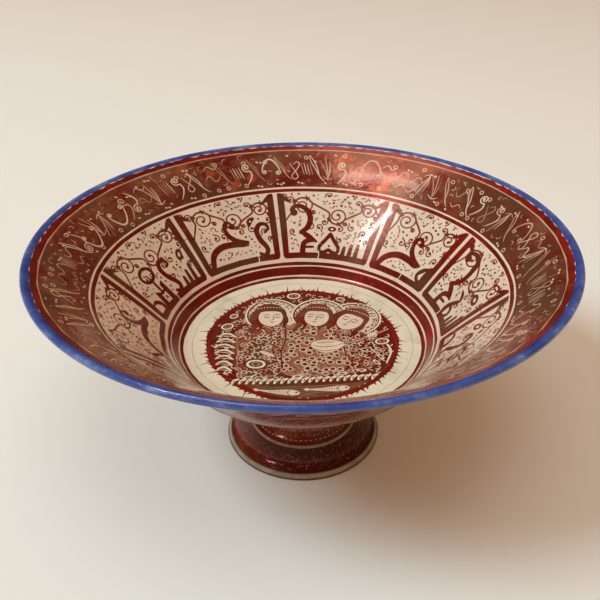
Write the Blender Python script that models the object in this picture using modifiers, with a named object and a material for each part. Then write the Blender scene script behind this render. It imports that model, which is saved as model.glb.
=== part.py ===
"""Footed bowl: a flaring dish on a hollow, splayed foot, thrown in two halves and fired as one.

Metres, +Z up, standing on the plane z = 0 with its axis on Z.
The whole vessel is one turned profile, drawn as radius and height, that runs from the middle of
the floor up the inside, over the lip, down the outside to the foot ring and back up the hollow foot.
"""
import math

import bpy

OBJECT_NAME = "footed_bowl"

# Bowl
RIM_RADIUS = 0.1600
LIP_THICKNESS = 0.0039
BOWL_DEPTH = 0.0750
RIM_SLOPE = math.radians(22)
WALL_FOOT_SLOPE = math.radians(57)
WALL_THICKNESS = 0.0068
RIM_FLARE = 0.0169
WALL_FOOT_RISE = 0.0183

# Floor of the bowl
FLOOR_RADIUS = 0.0765
FLOOR_DISH = 0.0032
FLOOR_EDGE_SLOPE = math.radians(12)
FLOOR_CORNER_RADIUS = 0.0050
FLOOR_THICKNESS = 0.0075

# Stem, from the table to the underside of the bowl
STEM_HEIGHT = 0.0647
NECK_RADIUS = 0.0270
NECK_HEIGHT = 0.0380
NECK_WALL = 0.0085
CAVETTO_END_SLOPE = math.radians(-35)
UNDERSIDE_CORNER_RADIUS = 0.0040

# Raised line round the top of the foot
CORDON_RADIUS = 0.0360
CORDON_HEIGHT = 0.0132
CORDON_BEAD_RADIUS = 0.0012
CORDON_TOP = math.radians(100)
CORDON_BOTTOM = math.radians(-50)

# Foot
FOOT_RADIUS = 0.0520
FOOT_EDGE_HEIGHT = 0.0041
FOOT_EDGE_INSET = 0.0026
FOOT_EDGE_ROUND = 0.0008
FOOT_RING_WIDTH = 0.0085
FOOT_WALL = 0.0060

# How far each curve runs on along its end slope, as a share of the distance it covers
FLOOR_MIDDLE_PULL = 0.5
FLOOR_EDGE_PULL = 0.15
UNDERSIDE_PULL = 0.75
NECK_PULL_UP = 0.6
NECK_PULL_DOWN = 0.55
CORDON_PULL = 0.2
HOLLOW_TOP_PULL = 0.6

# Steps of the turning and of its curved stretches
TURNING_STEPS = 84
WALL_STEPS = 9
FLOOR_STEPS = 3
LIP_STEPS = 5
CORNER_STEPS = 2
STEM_STEPS = 5
BEAD_STEPS = 3

GLAZE_COLOUR = (0.30, 0.13, 0.075, 1.0)
GLAZE_ROUGHNESS = 0.18

FULL_TURN = math.radians(360)
HALF_TURN = FULL_TURN / 2
QUARTER_TURN = FULL_TURN / 4


def step_from(start, slope, length):
    """The point that lies a length away from start, along a slope."""
    return (start[0] + length * math.cos(slope), start[1] + length * math.sin(slope))


def arc(centre, radius, first, last, steps):
    """Points on a round stretch, from one angle to another, both ends included."""
    angles = [first + (last - first) * step / steps for step in range(steps + 1)]
    return [step_from(centre, angle, radius) for angle in angles]


def curve(start, start_slope, start_pull, end, end_slope, end_pull, steps):
    """Points on a smooth curve that leaves start and reaches end at the slopes given."""
    near_start = step_from(start, start_slope, start_pull)
    near_end = step_from(end, end_slope, -end_pull)
    points = []
    for step in range(steps + 1):
        t = step / steps
        weights = ((1 - t) ** 3, 3 * t * (1 - t) ** 2, 3 * t * t * (1 - t), t ** 3)
        corners = (start, near_start, near_end, end)
        points.append(tuple(sum(w * c[axis] for w, c in zip(weights, corners)) for axis in (0, 1)))
    return points


def fillet(start, start_slope, end_slope, radius, steps):
    """A hollow round corner that leaves start at one slope and ends at a steeper one."""
    centre = step_from(start, start_slope + QUARTER_TURN, radius)
    return arc(centre, radius, start_slope - QUARTER_TURN, end_slope - QUARTER_TURN, steps)


def far_side(line, first_slope, last_slope, first_wall, last_wall):
    """The line moved sideways, to the right of its run, by a wall that changes evenly along it."""
    points = []
    last = len(line) - 1
    for index, point in enumerate(line):
        before = line[max(index - 1, 0)]
        after = line[min(index + 1, last)]
        slope = math.atan2(after[1] - before[1], after[0] - before[0])
        if index == 0:
            slope = first_slope
        if index == last:
            slope = last_slope
        wall = first_wall + (last_wall - first_wall) * index / last
        points.append(step_from(point, slope - QUARTER_TURN, wall))
    return points


def vessel_profile():
    """The closed outline of half the vessel, from the floor's middle round to the hollow's top."""
    floor_middle = (0.0, STEM_HEIGHT + FLOOR_THICKNESS)
    floor_edge = (FLOOR_RADIUS, floor_middle[1] + FLOOR_DISH)
    floor = curve(floor_middle, 0.0, FLOOR_MIDDLE_PULL * FLOOR_RADIUS, floor_edge,
                  FLOOR_EDGE_SLOPE, FLOOR_EDGE_PULL * FLOOR_RADIUS, FLOOR_STEPS)
    corner = fillet(floor_edge, FLOOR_EDGE_SLOPE, WALL_FOOT_SLOPE, FLOOR_CORNER_RADIUS, CORNER_STEPS)

    lip_radius = LIP_THICKNESS / 2
    lip_centre = (RIM_RADIUS - lip_radius, floor_edge[1] + BOWL_DEPTH - lip_radius)
    lip = arc(lip_centre, lip_radius, RIM_SLOPE + QUARTER_TURN, RIM_SLOPE - QUARTER_TURN, LIP_STEPS)
    inner_wall = curve(corner[-1], WALL_FOOT_SLOPE, WALL_FOOT_RISE, lip[0], RIM_SLOPE,
                       RIM_FLARE, WALL_STEPS)
    outer_wall = far_side(inner_wall, WALL_FOOT_SLOPE, RIM_SLOPE, WALL_THICKNESS, LIP_THICKNESS)
    outer_wall.reverse()

    bulge_centre = step_from(outer_wall[-1], WALL_FOOT_SLOPE + QUARTER_TURN, UNDERSIDE_CORNER_RADIUS)
    bulge = arc(bulge_centre, UNDERSIDE_CORNER_RADIUS, WALL_FOOT_SLOPE - QUARTER_TURN,
                FLOOR_EDGE_SLOPE - QUARTER_TURN, CORNER_STEPS)
    neck = (NECK_RADIUS, NECK_HEIGHT)
    flare = curve(bulge[-1], FLOOR_EDGE_SLOPE + HALF_TURN,
                  UNDERSIDE_PULL * (bulge[-1][0] - NECK_RADIUS), neck, -QUARTER_TURN,
                  NECK_PULL_UP * (bulge[-1][1] - NECK_HEIGHT), STEM_STEPS)

    cordon_centre = (CORDON_RADIUS - CORDON_BEAD_RADIUS, CORDON_HEIGHT)
    cordon = arc(cordon_centre, CORDON_BEAD_RADIUS, CORDON_TOP, CORDON_BOTTOM, BEAD_STEPS)
    neck_drop = NECK_HEIGHT - CORDON_HEIGHT
    cavetto = curve(neck, -QUARTER_TURN, NECK_PULL_DOWN * neck_drop, cordon[0],
                    CAVETTO_END_SLOPE, CORDON_PULL * neck_drop, STEM_STEPS)

    foot_shoulder = (FOOT_RADIUS - FOOT_EDGE_INSET, FOOT_EDGE_HEIGHT)
    foot_edge = arc((FOOT_RADIUS - FOOT_EDGE_ROUND, FOOT_EDGE_ROUND), FOOT_EDGE_ROUND,
                    0.0, -QUARTER_TURN, CORNER_STEPS)
    ring_inside = (FOOT_RADIUS - FOOT_RING_WIDTH, 0.0)
    hollow = far_side(cavetto, -QUARTER_TURN, CAVETTO_END_SLOPE, NECK_WALL, FOOT_WALL)
    hollow.reverse()
    hollow_top = (0.0, STEM_HEIGHT)
    dome = curve(hollow[-1], QUARTER_TURN, HOLLOW_TOP_PULL * (STEM_HEIGHT - NECK_HEIGHT),
                 hollow_top, HALF_TURN, HOLLOW_TOP_PULL * hollow[-1][0], STEM_STEPS)

    return (floor + corner[1:] + inner_wall[1:-1] + lip + outer_wall[1:] + bulge[1:] + flare[1:]
            + cavetto[1:] + cordon[1:] + [foot_shoulder] + foot_edge + [ring_inside]
            + hollow + dome[1:])


def glazed_clay():
    """Opaque glaze painted with metallic lustre."""
    material = bpy.data.materials.new("lustre_glaze")
    material.use_nodes = True
    surface = material.node_tree.nodes["Principled BSDF"]
    surface.inputs["Base Color"].default_value = GLAZE_COLOUR
    surface.inputs["Roughness"].default_value = GLAZE_ROUGHNESS
    surface.inputs["Metallic"].default_value = 0.0
    return material


def turned_vessel(collection):
    """The profile as a mesh of edges, turned once round Z."""
    points = vessel_profile()
    mesh = bpy.data.meshes.new(OBJECT_NAME)
    edges = [(index, index + 1) for index in range(len(points) - 1)]
    mesh.from_pydata([(radius, 0.0, height) for radius, height in points], edges, [])
    mesh.materials.append(glazed_clay())
    vessel = bpy.data.objects.new(OBJECT_NAME, mesh)
    collection.objects.link(vessel)

    turning = vessel.modifiers.new("turning", "SCREW")
    turning.axis = "Z"
    turning.angle = FULL_TURN
    turning.steps = TURNING_STEPS
    turning.render_steps = TURNING_STEPS
    turning.use_merge_vertices = True
    turning.merge_threshold = 0.00001
    turning.use_smooth_shade = True
    return vessel


for leftover in list(bpy.data.objects):
    bpy.data.objects.remove(leftover, do_unlink=True)

parts = bpy.data.collections.new(OBJECT_NAME)
bpy.context.scene.collection.children.link(parts)
turned_vessel(parts)
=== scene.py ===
import math
import random

import bmesh
import bpy
import numpy as np
from mathutils import Matrix, Vector
from mathutils.geometry import delaunay_2d_cdt


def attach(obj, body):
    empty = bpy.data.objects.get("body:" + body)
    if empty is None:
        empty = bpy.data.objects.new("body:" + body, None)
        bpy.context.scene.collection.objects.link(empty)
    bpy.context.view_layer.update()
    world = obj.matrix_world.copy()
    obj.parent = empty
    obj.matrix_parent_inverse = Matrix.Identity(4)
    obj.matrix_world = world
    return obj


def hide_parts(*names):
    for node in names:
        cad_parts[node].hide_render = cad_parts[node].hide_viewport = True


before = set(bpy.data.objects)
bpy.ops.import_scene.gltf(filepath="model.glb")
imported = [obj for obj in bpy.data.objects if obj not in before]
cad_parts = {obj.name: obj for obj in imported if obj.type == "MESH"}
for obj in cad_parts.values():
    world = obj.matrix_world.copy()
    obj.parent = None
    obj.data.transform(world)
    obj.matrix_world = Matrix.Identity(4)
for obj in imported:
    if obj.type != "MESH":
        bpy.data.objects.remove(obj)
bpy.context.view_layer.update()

# Camera, standing in for the photographer, a little left of square to the bowl.
# It looks down at the bowl from in front and above, and its place was found from the rim,
# the painted rings and the foot.
PICTURE_PIXELS = 600
FOCAL_PIXELS = 735.392
SENSOR_MM = 36.0
EYE = Vector((0.0, -0.39213, 0.34523))
LOOK_DOWN = math.radians(31.5956)
LOOK_RIGHT = math.radians(-0.1968)
TILT = math.radians(-0.4684)

ahead = Vector((math.sin(LOOK_RIGHT) * math.cos(LOOK_DOWN),
                math.cos(LOOK_RIGHT) * math.cos(LOOK_DOWN), -math.sin(LOOK_DOWN)))
level_right = Vector((math.cos(LOOK_RIGHT), -math.sin(LOOK_RIGHT), 0.0))
level_up = level_right.cross(ahead)
eye_right = math.cos(TILT) * level_right + math.sin(TILT) * level_up
eye_up = math.cos(TILT) * level_up - math.sin(TILT) * level_right
camera_data = bpy.data.cameras.new("camera")
camera_data.sensor_width = SENSOR_MM
camera_data.lens = FOCAL_PIXELS / PICTURE_PIXELS * SENSOR_MM
camera = bpy.data.objects.new("camera", camera_data)
bpy.context.scene.collection.objects.link(camera)
turned = Matrix((eye_right, eye_up, -ahead)).transposed().to_4x4()
camera.matrix_world = Matrix.Translation(EYE) @ turned
bpy.context.scene.camera = camera

# Thrown clay form: a flaring dish on a hollow splayed foot, in millimetres.
# Its outline runs from the middle of the floor up the inside, over the lip, down the outside
# and out to the edge of the foot, and a place on it is given by its distance along that run.
RIM_RADIUS = 160.0
LIP_THICKNESS = 3.9
BOWL_DEPTH = 75.0
RIM_SLOPE = math.radians(22)
WALL_FOOT_SLOPE = math.radians(57)
WALL_THICKNESS = 6.8
RIM_FLARE = 16.9
WALL_FOOT_RISE = 18.3
FLOOR_RADIUS = 76.5
FLOOR_DISH = 3.2
FLOOR_EDGE_SLOPE = math.radians(12)
FLOOR_CORNER_RADIUS = 5.0
FLOOR_THICKNESS = 7.5
STEM_HEIGHT = 64.7
NECK_RADIUS = 27.0
NECK_HEIGHT = 38.0
NECK_WALL = 8.5
CAVETTO_END_SLOPE = math.radians(-35)
UNDERSIDE_CORNER_RADIUS = 4.0
CORDON_RADIUS = 36.0
CORDON_HEIGHT = 13.2
CORDON_BEAD_RADIUS = 1.2
CORDON_TOP = math.radians(100)
CORDON_BOTTOM = math.radians(-50)
FOOT_RADIUS = 52.0
FOOT_EDGE_HEIGHT = 4.1
FOOT_EDGE_INSET = 2.6
FOOT_EDGE_ROUND = 0.8
FOOT_SHOULDER_ROUND = 0.6
FOOT_RING_WIDTH = 8.5
FOOT_WALL = 6.0
FLOOR_MIDDLE_PULL = 0.5
FLOOR_EDGE_PULL = 0.15
UNDERSIDE_PULL = 0.75
NECK_PULL_UP = 0.6
NECK_PULL_DOWN = 0.55
CORDON_PULL = 0.2
HOLLOW_TOP_PULL = 0.6
FULL_TURN = 2 * math.pi
HALF_TURN = math.pi
QUARTER_TURN = math.pi / 2
MILLIMETRE = 0.001


def step_from(start, slope, length):
    """The point that lies a length away from start, along a slope."""
    return (start[0] + length * math.cos(slope), start[1] + length * math.sin(slope))


def arc(centre, radius, first, last, steps):
    """Points on a round stretch, from one angle to another, both ends included."""
    angles = [first + (last - first) * step / steps for step in range(steps + 1)]
    return [step_from(centre, angle, radius) for angle in angles]


def curve(start, start_slope, start_pull, end, end_slope, end_pull, steps):
    """Points on a smooth curve that leaves start and reaches end at the slopes given."""
    near_start = step_from(start, start_slope, start_pull)
    near_end = step_from(end, end_slope, -end_pull)
    points = []
    for step in range(steps + 1):
        t = step / steps
        weights = ((1 - t) ** 3, 3 * t * (1 - t) ** 2, 3 * t * t * (1 - t), t ** 3)
        corners = (start, near_start, near_end, end)
        points.append(tuple(sum(w * c[axis] for w, c in zip(weights, corners)) for axis in (0, 1)))
    return points


def far_side(line, first_slope, last_slope, first_wall, last_wall):
    """The line moved sideways, to the right of its run, by a wall that changes evenly along it."""
    points = []
    last = len(line) - 1
    for index, point in enumerate(line):
        before = line[max(index - 1, 0)]
        after = line[min(index + 1, last)]
        slope = math.atan2(after[1] - before[1], after[0] - before[0])
        slope = first_slope if index == 0 else last_slope if index == last else slope
        wall = first_wall + (last_wall - first_wall) * index / last
        points.append(step_from(point, slope - QUARTER_TURN, wall))
    return points


floor_middle = (0.0, STEM_HEIGHT + FLOOR_THICKNESS)
floor_edge = (FLOOR_RADIUS, floor_middle[1] + FLOOR_DISH)
floor_line = curve(floor_middle, 0.0, FLOOR_MIDDLE_PULL * FLOOR_RADIUS, floor_edge,
                   FLOOR_EDGE_SLOPE, FLOOR_EDGE_PULL * FLOOR_RADIUS, 60)
corner_centre = step_from(floor_edge, FLOOR_EDGE_SLOPE + QUARTER_TURN, FLOOR_CORNER_RADIUS)
corner_line = arc(corner_centre, FLOOR_CORNER_RADIUS, FLOOR_EDGE_SLOPE - QUARTER_TURN,
                  WALL_FOOT_SLOPE - QUARTER_TURN, 12)
lip_radius = LIP_THICKNESS / 2
lip_centre = (RIM_RADIUS - lip_radius, floor_edge[1] + BOWL_DEPTH - lip_radius)
lip_line = arc(lip_centre, lip_radius, RIM_SLOPE + QUARTER_TURN, RIM_SLOPE - QUARTER_TURN, 12)
inner_wall = curve(corner_line[-1], WALL_FOOT_SLOPE, WALL_FOOT_RISE, lip_line[0], RIM_SLOPE,
                   RIM_FLARE, 120)
outer_wall = far_side(inner_wall, WALL_FOOT_SLOPE, RIM_SLOPE, WALL_THICKNESS, LIP_THICKNESS)[::-1]
bulge_centre = step_from(outer_wall[-1], WALL_FOOT_SLOPE + QUARTER_TURN, UNDERSIDE_CORNER_RADIUS)
bulge_line = arc(bulge_centre, UNDERSIDE_CORNER_RADIUS, WALL_FOOT_SLOPE - QUARTER_TURN,
                 FLOOR_EDGE_SLOPE - QUARTER_TURN, 6)
neck = (NECK_RADIUS, NECK_HEIGHT)
flare_line = curve(bulge_line[-1], FLOOR_EDGE_SLOPE + HALF_TURN,
                   UNDERSIDE_PULL * (bulge_line[-1][0] - NECK_RADIUS), neck, -QUARTER_TURN,
                   NECK_PULL_UP * (bulge_line[-1][1] - NECK_HEIGHT), 60)
cordon_centre = (CORDON_RADIUS - CORDON_BEAD_RADIUS, CORDON_HEIGHT)
cordon_line = arc(cordon_centre, CORDON_BEAD_RADIUS, CORDON_TOP, CORDON_BOTTOM, 8)
neck_drop = NECK_HEIGHT - CORDON_HEIGHT
cavetto_line = curve(neck, -QUARTER_TURN, NECK_PULL_DOWN * neck_drop, cordon_line[0],
                     CAVETTO_END_SLOPE, CORDON_PULL * neck_drop, 40)
foot_shoulder = (FOOT_RADIUS - FOOT_EDGE_INSET, FOOT_EDGE_HEIGHT)
foot_edge = arc((FOOT_RADIUS - FOOT_EDGE_ROUND, FOOT_EDGE_ROUND), FOOT_EDGE_ROUND,
                0.0, -QUARTER_TURN, 4)
foot_slope, edge_slope = (math.atan2(end[1] - start[1], end[0] - start[0]) for start, end in
                          ((cordon_line[-1], foot_shoulder), (foot_shoulder, foot_edge[0])))
shoulder_line = curve(step_from(foot_shoulder, foot_slope, -FOOT_SHOULDER_ROUND), foot_slope,
                      FOOT_SHOULDER_ROUND / 2,
                      step_from(foot_shoulder, edge_slope, FOOT_SHOULDER_ROUND), edge_slope,
                      FOOT_SHOULDER_ROUND / 2, 4)
hollow_line = far_side(cavetto_line, -QUARTER_TURN, CAVETTO_END_SLOPE, NECK_WALL, FOOT_WALL)[::-1]
dome_line = curve(hollow_line[-1], QUARTER_TURN, HOLLOW_TOP_PULL * (STEM_HEIGHT - NECK_HEIGHT),
                  (0.0, STEM_HEIGHT), HALF_TURN, HOLLOW_TOP_PULL * hollow_line[-1][0], 24)

outline = []
start_of = {}
for stretch, line in (("floor", floor_line), ("corner", corner_line), ("wall", inner_wall),
                      ("lip", lip_line), ("outer wall", outer_wall), ("bulge", bulge_line),
                      ("underside", flare_line), ("stem", cavetto_line), ("cordon", cordon_line),
                      ("foot", shoulder_line), ("foot edge", foot_edge)):
    start_of[stretch] = len(outline) - (stretch not in ("floor", "foot", "foot edge"))
    outline += line[start_of[stretch] < len(outline):]
outline = np.array(outline)
along = np.concatenate(([0.0], np.cumsum(np.hypot(*np.diff(outline, axis=0).T))))
start_of = {stretch: along[index] for stretch, index in start_of.items()}
facing = np.gradient(outline, along, axis=0)[:, ::-1] * (-1.0, 1.0)


def places(turn, run):
    """Points of the clay surface, in millimetres, and the way that it faces there.

    turn is the angle from the far side, clockwise as seen from above, and run the distance
    along the outline.
    """
    radius, height = (np.interp(run, along, outline[:, axis]) for axis in (0, 1))
    out, up = (np.interp(run, along, facing[:, axis]) for axis in (0, 1))
    sine, cosine = np.sin(turn), np.cos(turn)
    return (np.stack([radius * sine, radius * cosine, height], axis=1),
            np.stack([out * sine, out * cosine, up], axis=1))


# Painting, all of it flush with the glaze: every brush mark is cut into the surface as faces
# of its own colour, and where marks overlap the later one shows.
COLUMNS, TILES = 252, 36
STEM_COLUMNS, STEM_TILES = 84, 14
CREAM, LUSTRE, THIN_LUSTRE, SCRATCH, COBALT, WORN = range(6)
SNAP = 0.001
STRAIGHT = 0.01
SAME_SLOPE = 1e-9
RING_STEPS = 126
clay_turns, clay_runs, clay_faces, face_paints, face_loads = [], [], [], [], []


def clipped(start, end, sides):
    """The part of a straight line that lies on the inner side of every side, or nothing."""
    first, last = 0.0, 1.0
    for a, b, c in sides:
        from_side = a * start[0] + b * start[1] - c
        to_side = a * end[0] + b * end[1] - c
        if from_side > 0 and to_side > 0:
            return None
        if from_side > 0:
            first = max(first, from_side / (from_side - to_side))
        elif to_side > 0:
            last = min(last, from_side / (from_side - to_side))
    if last <= first:
        return None
    dx, dy = end[0] - start[0], end[1] - start[1]
    return [(start[0] + dx * share, start[1] + dy * share) for share in (first, last)]


def topmost(spots, marks):
    """For each spot, the number of the last mark that covers it, counted from 1, or 0."""
    found = np.zeros(len(spots), int)
    x, y = spots.T
    order = np.argsort(x)
    sorted_x = x[order]
    for number, (shape, _, _, box) in enumerate(marks, 1):
        near = order[np.searchsorted(sorted_x, box[0]):np.searchsorted(sorted_x, box[1])]
        near = near[(y[near] > box[2]) & (y[near] < box[3])]
        if not len(near):
            continue
        x0, y0 = np.array(shape).T[:, :, None]
        x1, y1 = np.roll(x0, -1, 0), np.roll(y0, -1, 0)
        across = (y0 > y[near]) != (y1 > y[near])
        rise = np.where(y1 == y0, 1.0, y1 - y0)
        left = across & (x[near] < x0 + (x1 - x0) * (y[near] - y0) / rise)
        found[near[left.sum(0) % 2 == 1]] = number
    return found


def cut_up(points, lines, loose):
    """Triangles over a convex outline, none of them across a line."""
    found = delaunay_2d_cdt([Vector(point) for point in points + loose], lines, [], 0, SNAP, False)
    flat, triangles = np.array([tuple(point) for point in found[0]]), np.array(found[2])
    a, b, c = (flat[triangles[:, corner]] for corner in range(3))
    (across, up), (far_across, far_up) = (b - a).T, (c - a).T
    twice_area = across * far_up - up * far_across
    longest = np.sqrt(np.max([((p - q) ** 2).sum(1) for p, q in ((a, b), (b, c), (c, a))], axis=0))
    sound = twice_area > SNAP * longest
    return flat, triangles[sound], ((a + b + c) / 3)[sound]


def visible_lines(flat, triangles, looks, held):
    """The lines between faces that look different, without needless points on straight runs."""
    sides = {}
    for corners, look in zip(triangles.tolist(), looks):
        for a, b in zip(corners, corners[1:] + corners[:1]):
            sides.setdefault((min(a, b), max(a, b)), set()).add(look)
    joined = {}
    for (a, b), both in sides.items():
        if len(both) > 1:
            joined.setdefault(a, []).append(b)
            joined.setdefault(b, []).append(a)
    for point, ends in list(joined.items()):
        if len(ends) != 2 or point in held:
            continue
        (ax, ay), (bx, by), (x, y) = flat[ends[0]], flat[ends[1]], flat[point]
        if abs((ax - x) * (by - y) - (ay - y) * (bx - x)) > STRAIGHT * math.dist((ax, ay), (bx, by)):
            continue
        if ends[1] in joined[ends[0]]:
            continue
        for end, other in (ends, ends[::-1]):
            joined[end].remove(point)
            joined[end].append(other)
        del joined[point]
    return joined


def paint_tile(rim, loose, marks, ground, to_clay):
    """Cuts the marks into one convex tile of the surface, whose outline runs anticlockwise.

    It is cut twice: once along every mark, to see which lines show, and then along those alone.
    """
    xs, ys = zip(*rim)
    left, right, bottom, top = min(xs), max(xs), min(ys), max(ys)
    middle = np.array(((left + right) / 2, (bottom + top) / 2))
    sides = []
    for (x0, y0), (x1, y1) in zip(rim, rim[1:] + rim[:1]):
        length = math.dist((x0, y0), (x1, y1))
        a, b = (y1 - y0) / length, (x0 - x1) / length
        if not sides or abs(a * sides[-1][1] - b * sides[-1][0]) > SAME_SLOPE:
            sides.append((a, b, a * x0 + b * y0))
    near = [mark for mark in marks if mark[3][0] < right and mark[3][1] > left
            and mark[3][2] < top and mark[3][3] > bottom]
    rim_lines = [(point, (point + 1) % len(rim)) for point in range(len(rim))]
    points, lines = list(rim), list(rim_lines)
    for shape, _, _, box in near:
        for start, end in zip(shape, shape[1:] + shape[:1]):
            part = clipped(start, end, sides)
            if part:
                lines.append((len(points), len(points) + 1))
                points += part
    points = [tuple(point) for point in np.array(points) - middle]
    loose = [(x - middle[0], y - middle[1]) for x, y in loose]
    if near:
        flat, triangles, centres = cut_up(points, lines, loose)
        found = topmost(centres + middle, near)
        looks = [near[number - 1][1:3] if number else ground for number in found.tolist()]
        gaps = np.min([c - (flat + middle) @ (a, b) for a, b, c in sides], axis=0)
        joined = visible_lines(flat, triangles, looks, set(np.flatnonzero(gaps < 3 * SNAP).tolist()))
        kept = sorted(joined)
        places_of = {point: len(rim) + number for number, point in enumerate(kept)}
        points = points[:len(rim)] + [tuple(flat[point]) for point in kept]
        lines = rim_lines + [(places_of[a], places_of[b]) for a in kept for b in joined[a] if a < b]
    flat, triangles, centres = cut_up(points, lines, loose)
    flat += middle
    found = topmost(centres + middle, near)
    first = sum(len(turns) for turns in clay_turns)
    turns, runs = to_clay(flat)
    clay_turns.append(turns)
    clay_runs.append(runs)
    clay_faces.extend((triangles + first).tolist())
    looks = [near[number - 1][1:3] if number else ground for number in found.tolist()]
    face_paints.extend(paint for paint, _ in looks)
    face_loads.extend(load for _, load in looks)


def with_box(marks):
    """Each mark with the box that holds it."""
    boxed = []
    for shape, paint, load in marks:
        xs, ys = zip(*shape)
        boxed.append((shape, paint, load, (min(xs), max(xs), min(ys), max(ys))))
    return boxed


def paint_band(rows, rows_in_tile, tiles_round, girth, marks, ground, columns=(COLUMNS,) * 3):
    """Paints a band that runs right round, in tiles; its chart is girth times the turn, and the run."""
    low_columns, own_columns, high_columns = columns
    lap = FULL_TURN * girth
    marks = with_box(marks)
    marks += [([(x + way * lap, y) for x, y in shape], paint, load,
               (box[0] + way * lap, box[1] + way * lap) + box[2:])
              for way, end in ((-1, 1), (1, 0)) for shape, paint, load, box in marks
              if way * box[end] < -lap / 2]
    cuts = list(range(0, len(rows) - 1, rows_in_tile)) + [len(rows) - 1]
    for tile in range(tiles_round):
        left = (tile / tiles_round - 0.5) * lap
        right = ((tile + 1) / tiles_round - 0.5) * lap
        column = [m for m in marks if m[3][1] > left and m[3][0] < right]
        for low, high in zip(cuts, cuts[1:]):
            def across(count):
                count //= tiles_round
                return [left + (right - left) * step / count for step in range(count + 1)]
            below = across(low_columns if low == 0 else own_columns)
            above = across(high_columns if high == len(rows) - 1 else own_columns)
            between = rows[low + 1:high]
            rim = ([(x, rows[low]) for x in below] + [(right, y) for y in between]
                   + [(x, rows[high]) for x in above[::-1]] + [(left, y) for y in between[::-1]])
            inner = [(x, y) for x in across(own_columns)[1:-1] for y in between]
            paint_tile(rim, inner, column, ground, lambda chart: (chart[:, 0] / girth, chart[:, 1]))


def plain_band(rows, columns, paints):
    """A band of plain rows of faces, each row in its own paint."""
    first = sum(len(turns) for turns in clay_turns)
    turns = (np.arange(columns) / columns - 0.5) * FULL_TURN
    clay_turns.append(np.tile(turns, len(rows)))
    clay_runs.append(np.repeat(rows, columns))
    for row, paint in enumerate(paints):
        for column in range(columns):
            after = (column + 1) % columns
            a, b = first + row * columns + column, first + row * columns + after
            clay_faces.append([a, b, b + columns, a + columns])
            face_paints.append(paint[0])
            face_loads.append(paint[1])


def evenly(first, last, most):
    """Heights of rows from first to last, no more than so far apart."""
    count = max(1, math.ceil(abs(last - first) / most))
    return [first + (last - first) * step / count for step in range(count + 1)]


def swaying(seed, size, lap, waves=(3, 5, 8, 13, 21)):
    """A line's unsteadiness on its way round, as of a brush held to a turning wheel."""
    draw = random.Random(seed)
    parts = [(wave, draw.uniform(0, FULL_TURN), draw.uniform(0.4, 1.0)) for wave in waves]
    total = sum(part[2] for part in parts)
    return lambda x: size * sum(share * math.sin(wave * x / lap * FULL_TURN + phase)
                                for wave, phase, share in parts) / total


def rings(girth, *lines):
    """Lines drawn right round, each with its low and high edge, both a little unsteady."""
    lap = FULL_TURN * girth
    xs = [(step / RING_STEPS - 0.5) * lap for step in range(RING_STEPS + 1)]
    marks = []
    for low, high, paint, load, seed, sway in lines:
        below, above = swaying(seed, sway, lap), swaying(seed + 1, sway, lap)
        marks += [([(x0, low + below(x0)), (x1, low + below(x1)), (x1, high + above(x1)),
                    (x0, high + above(x0))], paint, load) for x0, x1 in zip(xs, xs[1:])]
    return marks


def flowing(points, step):
    """A smooth line through points given as x, y and width, cut into short steps."""
    ends = [points[0]] + list(points) + [points[-1]]
    line = []
    for a, b, c, d in zip(ends, ends[1:], ends[2:], ends[3:]):
        count = max(1, round(math.dist(b[:2], c[:2]) / step))
        for index in range(count):
            t = index / count
            line.append(tuple(0.5 * (2 * q + (r - p) * t + (2 * p - 5 * q + 4 * r - s) * t * t
                                     + (3 * q - p - 3 * r + s) * t ** 3)
                              for p, q, r, s in zip(a, b, c, d)))
    return line + [points[-1]]


def brushed(line, paint, load):
    """A stroke along a line of x, y and width, as a chain of four-sided patches."""
    left, right = [], []
    for index, (x, y, width) in enumerate(line):
        before = line[max(index - 1, 0)]
        after = line[min(index + 1, len(line) - 1)]
        dx, dy = after[0] - before[0], after[1] - before[1]
        reach = width / 2 / (math.hypot(dx, dy) or 1.0)
        left.append((x - dy * reach, y + dx * reach))
        right.append((x + dy * reach, y - dx * reach))
    return [([right[n], right[n + 1], left[n + 1], left[n]], paint, load)
            for n in range(len(line) - 1)]


def leant(x, y, lean, *points):
    """Points counted from x, y on axes that lean anticlockwise, with their widths if they have one."""
    sine, cosine = math.sin(lean), math.cos(lean)
    return [(x + dx * cosine - dy * sine, y + dx * sine + dy * cosine, *width)
            for dx, dy, *width in points]


def dab(x, y, size, paint, load, sides=6, tall=1.0, lean=0.0):
    """A round or oval touch of the brush; size is its half-width."""
    angles = [FULL_TURN * (side + 0.5) / sides for side in range(sides)]
    shape = leant(x, y, lean, *[(size * math.cos(a), size * tall * math.sin(a)) for a in angles])
    return [(shape, paint, load)]


def stroke(points, paint, load, step=1.5, round_ends=True):
    """A smooth brush stroke through points given as x, y and width."""
    line = flowing(points, step)
    marks = brushed(line, paint, load)
    if round_ends:
        for x, y, width in (line[0], line[-1]):
            if width > 0.6:
                marks += dab(x, y, width / 2, paint, load, 8)
    return marks


def coil(x, y, radius, turns, first, way, width, paint, load):
    """A tendril that winds in from its circle's edge to a knob at the middle."""
    steps = max(8, round(turns * 13))
    line = []
    for step in range(steps + 1):
        share = step / steps
        turn = first + way * turns * FULL_TURN * share
        line.append(step_from((x, y), turn, radius * (1 - 0.8 * share)) + (width,))
    return brushed(line, paint, load) + dab(*line[-1][:2], 0.9 * width + 0.25, paint, load, 7)


def oval_line(x, y, across, tall, lean, width, paint, first=0.0, last=FULL_TURN):
    """A line along part of an oval."""
    steps = max(6, round((last - first) * across / 2.2))
    angles = [first + (last - first) * step / steps for step in range(steps + 1)]
    return brushed(leant(x, y, lean, *[(across * math.cos(a), tall * math.sin(a), width)
                                       for a in angles]), *paint)


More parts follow.
